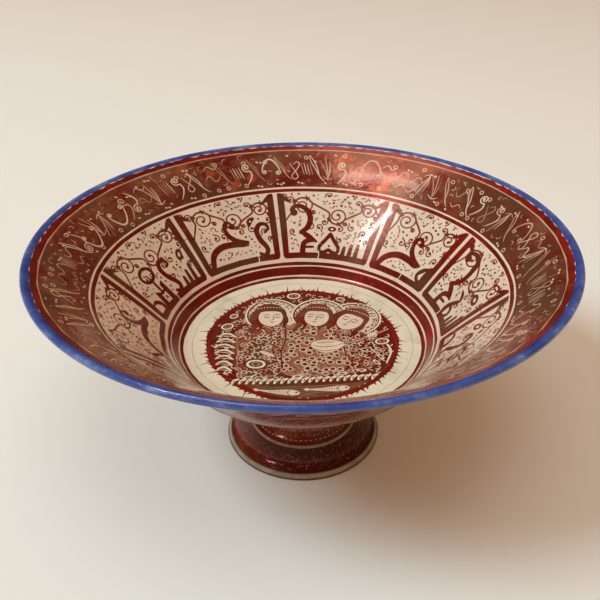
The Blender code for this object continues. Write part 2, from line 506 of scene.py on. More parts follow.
def touch(x, y, bow, first, way, width, paint):
    """A short curved touch of the brush."""
    return brushed([step_from((x, y), first + way * turn, bow) + (width * share,)
                    for turn, share in ((0.0, 0.8), (0.9, 1.0), (1.8, 0.9), (2.7, 0.6))], *paint)


# Band of tall strokes round the wall, in dark lustre over a thinner red vine and dots.
# It stands in for the bowl's large lettering: its bars, hooks and teeth have the lettering's weight
# and rhythm and are no letters.
BAND_GIRTH = 105.0
BAND_LOW, BAND_HIGH = 91.5, 144.0
MARKS_TOP = 143.0
BAR_FOOT = 92.5
BAR_BASE = 96.9
POST_MIDDLE = 120.0
POST_TOP = 144.2
POST_GAP = 1.3
POST_WIDTH = 5.0
PANEL_TURNS = (-89.0, -48.6, -9.5, 32.5, 66.6, 102.5, 143.0, 184.0, 229.0, 271.0)
BOLD = (LUSTRE, 0.6)
PLAIN = (CREAM, 0.5)
VINE = (THIN_LUSTRE, 0.5)
FILLING = (THIN_LUSTRE, 0.42)
band_hand = random.Random(11)
vine_marks, bold_marks, cream_marks, fill_marks = [], [], [], []


def bold(x, y, way, *points, step=1.8):
    """A bold stroke through points counted from x, y, and mirrored where way is -1."""
    return stroke([(x + way * dx, y + dy, width) for dx, dy, width in points], *BOLD, step)


def post(side, lean):
    """One of a pair of uprights, with a flag that falls away from the gap; side is -1 or 1."""
    inner, outer, brow = POST_GAP, POST_GAP + POST_WIDTH, POST_TOP - 6.6
    shapes = ([(inner, BAR_FOOT + 2.2), (inner + 1.6, BAR_FOOT), (outer, BAR_FOOT),
               (outer, POST_MIDDLE), (inner, POST_MIDDLE)],
              [(inner, POST_MIDDLE), (outer, POST_MIDDLE), (outer - 0.5, brow), (inner, POST_TOP - 2)],
              [(inner, POST_TOP - 2), (outer - 0.5, brow), (inner + 10.2 + lean, POST_TOP - 9.6),
               (inner + 5.2, POST_TOP - 2.8), (inner + 3.0, POST_TOP - 0.5), (inner + 0.3, POST_TOP)])
    return [([(side * x, y) for x, y in shape][::side], *BOLD) for shape in shapes]


def teeth(x, heights, pitch):
    """A run of short blunt strokes that stand on the base line."""
    return [mark for index, height in enumerate(heights)
            for mark in bold(x + index * pitch, BAR_BASE, 1, (0, -1, 4.2), (0.3, height / 2, 3.4),
                             (0.6, height, 2.72))]


def holed_drop(x, y, size, lean):
    """An oval drop with a pale hole."""
    return dab(x, y, size, *BOLD, 12, 0.62, lean) + dab(x, y, size * 0.42, *PLAIN, 8, 0.5, lean)


def swan(x, y, long, way):
    """A knobbed neck on a long back that comes down to the base line."""
    return (dab(x + way * 9.4, y + 14.4, 2.3, *BOLD, 9)
            + bold(x, y, way, (9.4, 15.8, 2.0), (11.6, 18.4, 2.4), (14.6, 16.6, 2.9), (15.2, 11.5, 3.3),
                   (13.2, 6.5, 4.0), (8.0, 2.6, 3.4), (0.0, 0.8, 0.8), step=1.4)
            + bold(x, y, way, (0.0, 0.6, 1.0), (4.0, -0.6, 4.2), (12.0, 0.8, 4.8), (long - 14, 1.2, 4.9),
                   (long - 5, -2.8, 4.8), (long, BAR_BASE - y, 4.8)))


def hooked(x, way, rise=0.0):
    """A tall hook with a knob, that zigzags down to steps on the base line."""
    return (dab(x + way * 18, 127.8 + rise, 2.7, *BOLD, 10)
            + bold(x, 0, way, (19.8, 129.6 + rise, 2.2), (18.4, 132.4 + rise, 2.8), (13.6, 133 + rise, 3.4),
                   (8.4, 129.4 + rise, 3.9), (6.2, 122.8, 4.2), (8.0, 116.4, 4.2), (13.2, 112.2, 3.2),
                   step=1.4)
            + bold(x, 0, way, (13.4, 113.0, 2.2), (8.0, 109.6, 4.4), (0.6, 105.2, 1.6))
            + bold(x, 0, way, (1.0, 105.4, 1.4), (6.5, 106.0, 3.4), (11.0, 103.6, 4.4),
                   (12.0, BAR_BASE - 1, 5.0))
            + bold(x, 0, way, (3.2, 101.2, 1.8), (9.0, 101.0, 2.0)))


def s_hook(x, way):
    """A hook like a young fern, standing on the base line."""
    return bold(x, 0, way, (2.0, 115.2, 1.8), (-0.6, 116.6, 2.4), (1.2, 120.4, 2.8), (5.6, 120.6, 3.4),
                (8.6, 115.8, 4.0), (7.2, 109.0, 4.2), (3.4, 103.4, 4.0), (2.6, 99.6, 4.0),
                (5.6, 96.6, 3.6), (9.4, 98.6, 2.6), step=1.4)


def ringed_tower(x):
    """A ring on a stem between two stepped towers, over an open square."""
    turns = [FULL_TURN * step / 18 for step in range(19)]
    marks = brushed([(x + 6.6 * math.sin(a), 119.6 + 5.0 * math.cos(a), 2.6) for a in turns], *BOLD)
    marks += bold(x, 0, 1, (-0.6, 119.4, 1.2), (0, 116.6, 1.6), (0, 112.0, 2.6), (0, 104.0, 2.2))
    for way, height in ((-1, 108.5), (1, 111.5)):
        corners = ((3.0, BAR_BASE - 1), (8.4, BAR_BASE - 1), (7.0, height), (2.8, height - 2.4))
        marks += [([(x + way * dx, y) for dx, y in corners], *BOLD)]
    for left, right in (((-6, 104.6, 2.0), (6, 104.6, 2.0)), ((-1.2, 101.6, 0.8), (1.4, 99.2, 0.8)),
                        ((1.2, 101.4, 0.8), (-1.2, 99.4, 0.8))):
        marks += bold(x, 0, 1, left, right)
    return marks


def knot(x):
    """An open three-lobed knot with an oval bead over its point."""
    half = [(0, 111.6), (3.4, 107.0), (8.0, 101.6), (7.4, 97.8), (3.6, 97.6), (0, 99.4)]
    loop = half + [(-dx, y) for dx, y in half[-2::-1]]
    return (bold(x, 0, 1, *[(dx, y, 3.0) for dx, y in loop], step=1.6)
            + dab(x + 0.6, 115.6, 3.3, *BOLD, 12, 0.62) + dab(x + 0.6, 115.6, 1.2, *PLAIN, 6, 0.7)
            + dab(x, 102.4, 1.0, *BOLD))


def half_leaf(x, way):
    """Half a pointed leaf with an eye."""
    return (bold(x, 0, way, (9.8, 96.0, 5.6), (9.4, 103.0, 5.2), (9.6, 108.0, 3.0), (10.6, 111.2, 0.9))
            + bold(x, 0, way, (9.6, 109.4, 1.2), (5.2, 106.8, 3.4), (1.6, 101.8, 3.2), (4.2, 98.4, 2.8),
                   (8.8, 97.6, 2.6)))


def half_moon(x, y, lean):
    """Half a disc with an eye."""
    arch = [step_from((x, y), lean + HALF_TURN * step / 8, 4.2) for step in range(9)]
    return [(arch, *BOLD)] + dab(*step_from((x, y), lean + QUARTER_TURN, 1.6), 0.8, *PLAIN)


def boss(x, y, size):
    """A knob wound like a snail."""
    return dab(x, y, size, *BOLD, 12) + coil(x, y, size * 0.62, 0.9, 1.0, 1, 0.5, *PLAIN)


def arch_by_post(x, way):
    """A low arch that springs from the foot of a post."""
    return bold(x, 0, way, (0, 104.6, 1.4), (4.4, 104.4, 3.0), (8.4, 100.6, 3.6), (8.6, 96.4, 4.0))


def fish_hook(x, way):
    """A loop with a barbed tail thrown back over it."""
    return (bold(x, 0, way, (10.6, 116.0, 0.9), (6.4, 114.2, 2.6), (3.2, 111.2, 2.6), (5.4, 107.6, 3.4),
                 (8.4, 103.0, 4.2), (9.2, 96.6, 4.6), step=1.4)
            + bold(x, 0, way, (7.0, 104.6, 2.6), (2.4, 102.6, 2.8), (0.8, 99.0, 2.8), (3.4, 96.6, 2.4)))


panel_motifs = (
    (arch_by_post(6.4, 1) + ringed_tower(25.4) + s_hook(48.0, -1) + teeth(52.6, (5.5, 8.5, 11.5), 5.2)
     + holed_drop(62.0, 117.4, 4.6, 1.1), 34.4),
    (boss(8.4, 98.6, 3.3) + swan(46.5, 108.4, 37.5, -1) + s_hook(63.0, -1) + half_moon(52.6, 123.0, 0.9),
     50.6),
    (hooked(30.0, -1) + knot(40.0) + teeth(52.4, (5.5, 8.0, 9.0), 5.6), 31.4),
    (swan(45.0, 106.8, 37.0, -1) + half_leaf(45.6, 1), 33.0),
    (hooked(30.6, -1, 3.5) + fish_hook(43.0, -1) + holed_drop(50.0, 120.6, 5.0, -0.35)
     + teeth(47.8, (5.0, 8.5, 12.0), 4.8), 31.6),
    (arch_by_post(6.4, 1) + s_hook(20.6, 1) + ringed_tower(44.0) + teeth(56.6, (6.0, 9.0, 10.5), 5.0)
     + holed_drop(16.4, 123.6, 4.4, 0.7), 34.0),
    (swan(8.6, 107.4, 38.5, 1) + knot(59.0), 48.2),
    (hooked(9.0, 1) + boss(33.6, 98.6, 3.2) + fish_hook(40.6, 1) + half_moon(46.0, 122.6, 0.4)
     + teeth(56.4, (5.5, 7.5, 9.5, 11.5), 5.2), 29.8),
    (knot(16.4) + swan(64.0, 108.0, 38.0, -1), 27.4),
)


def shoot(x, y, lean, reach, way):
    """A small curled shoot that springs from the stem."""
    hub, back = step_from((x, y), lean, 1.45 * reach), lean + HALF_TURN
    return (brushed([(x, y, 1.0), step_from(hub, back, reach) + (0.95,)], *VINE)
            + coil(*hub, reach, 0.95, back, way, 1.0, *VINE))


def vine(width):
    """A red stem that winds over and under three hubs and coils into each, with curled shoots."""
    sway = band_hand.uniform(-1.0, 1.0)
    line, marks = [(2.0, 113.0, 1.0), (5.4, 121.0, 1.1)], []
    for x, y, reach, way in ((0.25 * width + sway, 133.4 + 0.3 * sway, 6.5, -1),
                             (0.55 * width - sway, 126.6 + sway, 6.3, 1),
                             (0.83 * width, 132.6 - 0.4 * sway, 5.3, -1)):
        first = HALF_TURN - way * 0.35
        line += [step_from((x, y), first + way * HALF_TURN * step / 5, reach) + (1.4,) for step in range(6)]
        marks += coil(x, y, reach * 0.99, 1.25, first + way * HALF_TURN, way, 1.15, *VINE)
        marks += shoot(x + 0.75 * reach, y - 0.55 * reach, -0.7, 2.0, way)
        for share, size in ((0.28, 2.7), (0.72, 2.9)):
            angle = first + way * HALF_TURN * share
            spot = step_from((x, y), angle, reach)
            if spot[1] + 2.6 * size * math.sin(angle) < MARKS_TOP:
                marks += shoot(*spot, angle, size, -way)
            for turn in (0.5, 2.1):
                marks += brushed([step_from(spot, angle + turn, length) + (wide,)
                                  for length, wide in ((-2.3, 0.7), (0.0, 1.8), (2.3, 0.7))], *VINE)
    marks += stroke(line + [(width - 3.0, 127.0, 0.8)], *VINE, 1.8, False)
    for share, y, lean, reach, way in (
            (0.11, 139.6, 2.6, 2.4, 1), (0.42, 140.6, 0.4, 2.6, -1), (0.68, 140.2, 1.8, 2.5, 1),
            (0.68, 121.6, -0.9, 3.1, 1), (0.30, 121.4, -1.4, 3.2, -1), (0.43, 113.0, 2.2, 3.0, 1),
            (0.80, 112.0, 0.7, 3.0, -1), (0.92, 120.0, 1.2, 2.8, 1), (0.16, 109.4, 2.0, 2.9, -1),
            (0.58, 110.0, -0.6, 2.6, 1), (0.93, 106.0, 1.4, 2.3, -1)):
        marks += shoot(share * width - 3.0 * (share > 0.9), y, lean, reach, way)
    return marks


def shifted(marks, across):
    """The marks moved along the band."""
    return [([(x + across, y) for x, y in shape], paint, load) for shape, paint, load in marks]


def take(spots, x, y):
    """Enters a place in a coarse map of those already painted."""
    spots.setdefault((math.floor(x / 2), math.floor(y / 2)), []).append((x, y))


def crowded(marks):
    """A coarse map of the places that marks reach."""
    spots = {}
    for shape, _, _ in marks:
        for (x0, y0), (x1, y1) in zip(shape, shape[1:] + shape[:1]):
            pieces = max(1, math.ceil(math.dist((x0, y0), (x1, y1)) / 1.5))
            for piece in range(pieces):
                take(spots, x0 + (x1 - x0) * piece / pieces, y0 + (y1 - y0) * piece / pieces)
        take(spots, *(sum(point[axis] for point in shape) / len(shape) for axis in (0, 1)))
    return spots


def clear_of(spots, x, y, gap):
    """Whether no painted place lies nearer than gap."""
    reach = math.ceil(gap / 2)
    columns, rows = (range(math.floor(at / 2) - reach, math.floor(at / 2) + reach + 1) for at in (x, y))
    return all((px - x) ** 2 + (py - y) ** 2 >= gap * gap
               for i in columns for j in rows for px, py in spots.get((i, j), ()))


def sprinkled(marks, left, right):
    """Dots and little commas in the room that the marks leave."""
    spots, found = crowded(marks), []
    for _ in range(1500):
        x, y = band_hand.uniform(left, right), band_hand.uniform(BAR_BASE + 0.8, MARKS_TOP)
        if not clear_of(spots, x, y, 2.45):
            continue
        take(spots, x, y)
        size = band_hand.uniform(0.55, 1.1)
        if band_hand.random() < 0.36:
            first, way = band_hand.uniform(0, FULL_TURN), band_hand.choice((-1, 1))
            bow = band_hand.uniform(1.0, 1.5)
            found += touch(x, y, bow, first, way, 0.75, FILLING)
            found += dab(*step_from((x, y), first, bow), 0.7, *FILLING, 5)
        else:
            found += dab(x, y, size, *FILLING, 6, band_hand.uniform(0.7, 1.2), band_hand.uniform(0, 3))
    return found


for first_turn, last_turn, (motifs, cut) in zip(PANEL_TURNS, PANEL_TURNS[1:], panel_motifs):
    left = math.radians(first_turn) * BAND_GIRTH
    width = math.radians(last_turn - first_turn) * BAND_GIRTH
    lean = band_hand.uniform(-0.5, 0.5)
    vines = vine(width)
    low, high = POST_GAP + 2, width - POST_GAP - 2
    bolds = (motifs + post(1, lean) + shifted(post(-1, lean), width)
             + [([(low, BAR_FOOT), (high, BAR_FOOT), (high, BAR_BASE), (low, BAR_BASE)], *BOLD)])
    creams = stroke([(cut, BAR_FOOT - 0.5, 0.9), (cut + 0.7, BAR_BASE - 1.6, 0.8),
                     (cut, BAR_BASE + 1.5, 0.9)], *PLAIN, 1.0, False)
    nick = band_hand.uniform(121, 126)
    creams += brushed([(-POST_GAP, nick, 0.5), (0.0, nick + 0.5, 0.5), (POST_GAP, nick + 0.3, 0.5)], *VINE)
    dots = sprinkled(vines + bolds, POST_GAP + POST_WIDTH, width - POST_GAP - POST_WIDTH)
    for marks, found in ((vine_marks, vines), (bold_marks, bolds), (cream_marks, creams),
                         (fill_marks, dots)):
        marks += shifted(found, left)
band_marks = vine_marks + fill_marks + bold_marks + cream_marks

# Band of small ornament under the rim, scratched pale through brown lustre: leaves, sheaves, coils
# and crescents in rows, with short touches between. It stands in for the small lettering, at its
# slant and spacing, and none of its strokes is a letter.
SCRIPT_GIRTH = 140.0
SCRIPT_LOW, SCRIPT_HIGH = 148.7, 179.9
KINDS = ("leaf", "leaf", "sheaf", "crescent", "tendril", "tendril", "wave", "wave", "knot", "crescent",
         "ticks")
script_hand = random.Random(23)
script_marks = []


def scratch(*points):
    """A fine scratched stroke."""
    return stroke([(x, y, 0.76 * width) for x, y, width in points], SCRATCH,
                  script_hand.uniform(0.05, 0.6), 1.5, False)


def flourish(x):
    """One scratched figure at x, and how far along the next one starts."""
    def near(*points):
        return leant(x, base, 0.0, *points)

    draw = script_hand.random
    kind = script_hand.choice(KINDS)
    base = 159.5 + script_hand.uniform(-1.5, 1.5)
    load = script_hand.uniform(0.15, 0.7)
    marks, gap = [], 8.0
    if kind == "leaf":
        high = base + 14.0 + 3.0 * draw()
        marks += scratch(*near((9.5, -5.5, 0.5), (6.0, -2.5, 1.1), (2.0, 4.0, 1.0), (-1.6, 10.0, 0.8),
                               (-3.2, high - base, 0.6), (-0.4, high - 4.0 - base, 0.8), (2.8, 6.0, 1.0),
                               (4.6, 0.5, 0.7)))
    elif kind == "sheaf":
        for lean, tall in ((-4.2, 13.0), (0.2, 15.5), (4.6, 11.5)):
            marks += scratch((x + 3.4, base - 3.0, 0.5), (x + 2.6 + 0.4 * lean, base + 4.0, 1.1),
                             (x - 0.6 + 0.9 * lean, base + tall, 0.5))
        marks += scratch(*near((-0.6, -1.0, 0.5), (3.6, -3.4, 1.1), (8.0, -1.4, 0.5)))
        gap = 9.5
    elif kind == "crescent":
        wide, deep = 10.5 + 3.0 * draw(), 6.5 + 2.0 * draw()
        marks += coil(x + 0.4, base + 4.6, 2.0, 0.9, HALF_TURN, -1, 0.8, SCRATCH, load)
        marks += coil(x + wide - 0.4, base + 5.8, 2.2, 0.9, 0.0, 1, 0.8, SCRATCH, load)
        marks += stroke(near((-1.6, 4.6, 0.8), (-0.6, 0.5, 1.1), (wide * 0.25, -deep * 0.75, 1.35),
                             (wide * 0.6, -deep * 0.8, 1.4), (wide * 0.95, -0.5, 1.1))
                        + [(x + wide + 1.8, base + 5.8, 0.8)], SCRATCH, load, 1.5, False)
        gap = wide + 0.5
    elif kind == "tendril":
        marks += coil(x + 3.4, base - 0.6, 3.6, 1.4, 0.9, 1, 0.9, SCRATCH, load)
        marks += stroke(near((5.6, 2.2, 0.9), (7.0, 6.0, 1.1), (5.0, 10.5, 0.9), (1.6, 14.5, 0.4)),
                        SCRATCH, load, 1.5, False)
    elif kind == "wave":
        marks += scratch(*near((0, 7.5, 0.5), (2.4, 4.0, 1.1), (5.0, 5.0, 1.1), (6.6, 8.6, 1.0),
                               (9.4, 8.8, 1.0), (12.4, 4.4, 0.5)))
        marks += scratch(*near((1.0, -1.5, 0.5), (4.6, -4.4, 1.1), (8.6, -1.0, 1.1), (11.6, -3.0, 0.5)))
        gap = 11.0
    elif kind == "knot":
        marks += scratch(*near((0, 9.0, 0.5), (3.6, 3.0, 1.0), (6.4, -2.5, 1.1), (3.4, -4.6, 1.0),
                               (1.4, -1.5, 1.0), (5.2, 3.4, 1.0), (7.6, 8.0, 1.0), (5.4, 10.4, 0.9),
                               (3.2, 8.0, 0.6)))
    else:
        for on in [2.2 * tick for tick in range(4)]:
            marks += scratch((x + on, base + 8.0 + draw(), 0.5), (x + 1.2 + on, base + 3.5, 1.0),
                             (x + 2.6 + on, base - 1.0 - draw(), 0.5))
        gap = 9.0
    if kind not in ("leaf", "ticks") and draw() < 0.42:
        marks = [([(a, 2 * base + 8.4 - b) for a, b in shape[::-1]], *paint) for shape, *paint in marks]
    return marks, gap


lap = FULL_TURN * SCRIPT_GIRTH
x = -lap / 2 + 4.0
while x < lap / 2 - 13.0:
    marks, gap = flourish(x)
    script_marks += marks
    for y in (script_hand.uniform(170.0, 176.5), script_hand.uniform(151.0, 153.5)):
        spot = x + script_hand.uniform(0.0, gap)
        kind = script_hand.random()
        if kind < 0.3:
            script_marks += oval_line(spot, y, 1.6, 1.3, -0.5, 0.7, (SCRATCH, 0.5))
        elif kind < 0.75:
            for shift in range(script_hand.choice((1, 2, 2))):
                script_marks += dab(spot + 2.7 * shift, y - 0.6 * shift, 1.15, SCRATCH, 0.6, 6, 0.6, -0.4)
    x += gap + script_hand.uniform(-0.4, 1.4)
curls = []
for _ in range(230):
    curls += coil(script_hand.uniform(-lap / 2 + 4, lap / 2 - 4), script_hand.uniform(152.5, 176.5),
                  script_hand.uniform(1.6, 3.4), 0.8, script_hand.uniform(0, FULL_TURN),
                  script_hand.choice((-1, 1)), 0.7, LUSTRE, script_hand.choice((0.02, 0.02, 0.6)))
script_spots = crowded(script_marks)
for _ in range(1100):
    x, y = script_hand.uniform(-lap / 2 + 3, lap / 2 - 3), script_hand.uniform(152.0, 176.8)
    if clear_of(script_spots, x, y, 2.9):
        script_marks += touch(x, y, script_hand.uniform(1.1, 2.1), script_hand.uniform(0, FULL_TURN),
                              script_hand.choice((-1, 1)), 0.62, (SCRATCH, script_hand.uniform(0.0, 0.45)))
        take(script_spots, x, y)
script_marks = curls + script_marks

# Picture on the floor of the bowl: three haloed musicians seated by a pool, in a thorny ring.
# The figures are plain ones of this kind of ware, left in cream or wiped out of the lustre,
# with the pattern of their coats dotted back in.
FLOOR_PAINTED = 69.5
PICTURE_RADIUS = 62.3
THORNS = 32
CORNER_GIRTH = 80.0
picture_hand = random.Random(37)
MAROON, BROWN, RED, ORANGE = (LUSTRE, 0.55), (LUSTRE, 0.1), (LUSTRE, 0.9), (THIN_LUSTRE, 1.0)
HAIR, PINK, WIPED, PALE = (LUSTRE, 0.34), (SCRATCH, 0.1), (SCRATCH, 0.35), (SCRATCH, 0.95)
FINE = (THIN_LUSTRE, 0.1)


def plan(turn, radius):
    """A point of the floor seen from above, by its turn from the far side."""
    return (radius * math.sin(turn), radius * math.cos(turn))


def halo(x, y, lean):
    """A pale ring and a speckled disc behind a head."""
    marks = []
    for dx, dy, wide, paint in ((1.3, 1.5, 19.0, PALE), (1.3, 1.5, 17.7, MAROON),
                                (1.5, 1.2, 16.7, (SCRATCH, 0.7))):
        marks += dab(x + dx, y + dy, wide, *paint, 30, (wide + 1.0) / wide, lean)
    for _ in range(170):
        angle, reach = lean + picture_hand.uniform(-0.7, 4.0), picture_hand.uniform(12.6, 16.4)
        marks += dab(x + 1.5 + reach * math.cos(angle), y + 1.3 + reach * 1.04 * math.sin(angle),
                     picture_hand.uniform(0.35, 0.7), *MAROON, 5)
    return marks


def head(x, y, lean, look):
    """A plain oval face with lowered eyes, dark parted hair and a beaded band."""
    def drawn(paint, *points, step=1.5, round_ends=True):
        return stroke(leant(x, y, lean, *points), *paint, step, round_ends)

    marks = dab(*leant(x, y, lean, (-0.6, 1.8))[0], 11.6, *HAIR, 26, 13.9 / 11.6, lean)
    marks += drawn(HAIR, (-10, 4, 5.4), (-12.0, -4, 5.6), (-10.4, -11, 4.2), (-13.0, -18, 2.6),
                   (-12.0, -22, 0.8))
    marks += drawn(RED, (-8.0, -1, 2.4), (-8.8, -7, 3.0), (-6.6, -12, 2.4), (-8.4, -18, 1.0))
    marks += drawn(HAIR, (8.8, 3, 3.2), (10.2, -5, 3.8), (8.8, -11.6, 2.4), (10.4, -15.6, 0.8))
    marks += dab(*leant(x, y, lean, (0, -1.2))[0], 8.3, CREAM, 0.8, 26, 10.6 / 8.3, lean)
    marks += [(leant(x, y, lean, (-8.6, 6.2), (8.6, 6.2), (7.4, 11.4), (-7.4, 11.4)), *HAIR)]
    marks += drawn(HAIR, (-8.4, 5.8, 2.4), (0, 7.8, 2.0), (8.4, 5.8, 2.4))
    for bead in leant(x, y, lean, *[(-8.4 + 2.1 * n, 11.2 - 0.09 * (n - 4) ** 2) for n in range(9)]):
        marks += dab(*bead, 0.55, *PALE, 5)
    for eye in (look - 3.5, look + 3.5):
        for half, start, middle, end, thin, thick in ((2.3, 1.3, 2.1, 1.4, 0.4, 0.8),
                                                      (2.0, -0.7, -1.3, -0.7, 0.6, 0.85)):
            marks += drawn(FINE, (eye - half, start, thin), (eye, middle, thick), (eye + half, end, thin),
                           step=1.2, round_ends=False)
    marks += drawn(FINE, (look + 0.7, 0.9, 0.45), (look + 0.9, -2.6, 0.5), (look + 0.9, -4.0, 0.55),
                   (look - 0.6, -4.3, 0.5), step=1.2, round_ends=False)
    return marks + drawn(FINE, (look - 1.3, -6.7, 0.5), (look, -6.9, 1.05), (look + 1.3, -6.7, 0.5),
                         step=1.0, round_ends=False)


def bud(x, y, size, lean=0.0):
    """A small rose, wiped pale with a dark heart."""
    marks = []
    for share, paint, sides, tall in ((1.25, MAROON, 14, 0.8), (1.0, PALE, 12, 0.75), (0.72, MAROON, 10, 0.7),
                                      (0.5, PINK, 8, 0.7)):
        marks += dab(x, y, size * share, *paint, sides, tall, lean)
    return marks + dab(x, y, size * 0.25, *MAROON, 5)


def trefoil(x, y, turn, size):
    """Three dark dots, each in a pale ring."""
    marks, hearts = [], []
    for step in range(3):
        spot = step_from((x, y), turn + FULL_TURN * step / 3, size * 1.18)
        marks += dab(*spot, size, SCRATCH, 0.6, 9)
        hearts += dab(*spot, size * 0.7, LUSTRE, picture_hand.uniform(0.1, 0.9), 7)
    return marks + hearts


def inside(shape, x, y):
    """Whether a place lies within an outline."""
    return sum((y0 > y) != (y1 > y) and x < x0 + (x1 - x0) * (y - y0) / (y1 - y0)
               for (x0, y0), (x1, y1) in zip(shape, shape[1:] + shape[:1])) % 2 == 1


def scattered(shape, gap, tries):
    """Places within an outline, no two closer than gap."""
    xs, ys = zip(*shape)
    found = []
    for _ in range(tries):
        x, y = picture_hand.uniform(min(xs), max(xs)), picture_hand.uniform(min(ys), max(ys))
        if inside(shape, x, y) and all((x - a) ** 2 + (y - b) ** 2 > gap * gap for a, b in found):
            found.append((x, y))
    return found


def rounded(corners, step):
    """A smooth closed outline through corners."""
    return [point[:2] for point in flowing([corner + (0.0,) for corner in corners + corners[:1]], step)][:-1]


def edged(shape, width, paint):
    """A line along the whole edge of an outline."""
    return brushed([point + (width,) for point in shape + shape[:1]], *paint)


def coat(ground, trefoils, *corners):
    """A patterned coat: its cloth, its figures and its edge."""
    cloth = rounded(list(corners), 3.0)
    marks = [(cloth, *ground)]
    if trefoils:
        for x, y in scattered(cloth, 2.3, 1500):
            marks += oval_line(x, y, 1.3, 1.0, picture_hand.uniform(0, 6), 0.6,
                               (LUSTRE, picture_hand.uniform(0.3, 1.0)), 0.0, picture_hand.choice((2.4, 4.0)))
        for x, y in scattered(cloth, 6.0, 300):
            marks += dab(x, y, picture_hand.uniform(1.0, 2.2), *ORANGE, 6, 0.6, picture_hand.uniform(0, 3))
        for x, y in scattered(cloth, 7.5, 700):
            marks += trefoil(x, y, picture_hand.uniform(0, 2), picture_hand.uniform(1.9, 2.5))
    else:
        for x, y in scattered(cloth, 2.9, 1800):
            way, turn = picture_hand.choice((-1, 1)), picture_hand.uniform(0, FULL_TURN)
            paint = picture_hand.choice(((SCRATCH, 0.3), (SCRATCH, 0.5), (SCRATCH, 0.7), (THIN_LUSTRE, 0.95)))
            marks += oval_line(x, y, 1.75, 1.4, turn, 0.8, paint, 0.0, way * 4.4)
        for x, y in scattered(cloth, 9.5, 200):
            marks += trefoil(x, y, picture_hand.uniform(0, 2), 1.5)
    return marks + edged(cloth, 0.7, PINK)


def lute():
    """A lute held aslant, pale, with its neck running up to the right."""
    shell = rounded([(5.0, -4.4), (8.0, -9.0), (14.0, -12.6), (20.5, -11.0), (26.0, -6.0), (28.6, -2.6),
                     (24.5, 0.4), (17.0, 2.6), (9.6, 1.6), (5.6, -1.4)], 2.2)
    marks = [(shell, CREAM, 0.9)]
    marks += stroke([(6.6, -3.6, 0.6), (12.0, -5.8, 0.9), (20.0, -5.2, 0.8), (26.5, -2.0, 0.5)],
                    *PINK, 1.6, False)
    marks += stroke([(9.6, -1.2, 1.6), (15.0, -0.6, 2.6), (21.0, -0.4, 1.4)], *WIPED)
    marks += stroke([(8.0, -7.6, 0.5), (14.5, -10.4, 0.6), (21.5, -8.6, 0.5)], *MAROON, 1.6, False)
    marks += stroke([(27.0, -2.6, 2.0), (40.0, 3.2, 1.7), (56.5, 12.6, 1.5)], *WIPED)
    marks += brushed([(27.0, -2.6, 0.5), (40.0, 3.4, 0.5), (56.5, 12.8, 0.5)], *MAROON)
    for finger in range(4):
        marks += stroke([(43.0 + 1.5 * finger, 4.2 + 0.7 * finger, 1.1),
                         (43.6 + 1.5 * finger, 8.2 + 0.6 * finger, 1.2)], *PALE)
    return marks + edged(shell, 0.5, MAROON)


def fish(x, y, long, rise):
    """A slim fish with hatched flanks."""
    def at(share, lift, *width):
        return (x + long * share, y + rise * share + lift, *width)

    body = ((0, 0.6), (0.06, -1.2), (0.14, -0.4), (0.35, -1.6), (0.6, -2.6), (0.82, -3.0), (0.96, -1.8),
            (1.0, 0.2), (0.94, 2.0), (0.8, 2.8), (0.6, 2.0), (0.35, 0.9), (0.14, 0.6), (0.06, 1.8))
    marks = [([at(*place) for place in body], CREAM, 0.7)]
    for step in range(8):
        share = 0.34 + 0.052 * step
        marks += brushed([at(share, -1.4 - 1.4 * (share - 0.3), 0.45),
                          at(share + 0.02, 1.0 + 1.6 * (share - 0.3), 0.45)], *PINK)
    marks += oval_line(*at(0.84, -0.2), 2.9, 3.0, 0.0, 0.5, MAROON, 1.9, 4.4)
    return marks + dab(*at(0.92, 0.4), 0.75, *MAROON, 7)


ring_edge = swaying(41, 0.7, FULL_TURN, (5, 9, 14, 23))
turns = [FULL_TURN * step / 120 for step in range(120)]
picture = [([plan(a, PICTURE_RADIUS + ring_edge(a)) for a in turns][::-1], LUSTRE, 0.85)]
root = PICTURE_RADIUS - 0.8
for thorn in range(THORNS):
    angle = FULL_TURN * (thorn + picture_hand.uniform(-0.2, 0.2)) / THORNS
    bend, tip = picture_hand.uniform(-0.035, 0.035), PICTURE_RADIUS + picture_hand.uniform(4.2, 6.4)
    picture += brushed([plan(angle, root) + (1.0,), plan(angle + bend, tip) + (0.25,)], LUSTRE, 0.4)
    for tick in (-0.33, -0.02, 0.3):
        side = angle + tick * FULL_TURN / THORNS + picture_hand.uniform(-0.01, 0.01)
        short = PICTURE_RADIUS + picture_hand.uniform(0.9, 2.2)
        slant = picture_hand.uniform(0.005, 0.03)
        picture += brushed([plan(side, root) + (1.9,), plan(side + slant, short) + (0.4,)], LUSTRE, 0.7)
picture += [([plan(FULL_TURN * step / 60, 59.4) for step in range(60)][::-1], *MAROON)]
for x, y in scattered(arc((0, 0), 58, 0, FULL_TURN, 20)[:-1], 3.2, 1500):
    picture += oval_line(x, y, 1.7, 1.3, picture_hand.uniform(0, 6), 0.75,
                         (SCRATCH, picture_hand.choice((0.3, 0.5, 0.7))), 0.0,
                         picture_hand.choice((-4.4, 4.4)))

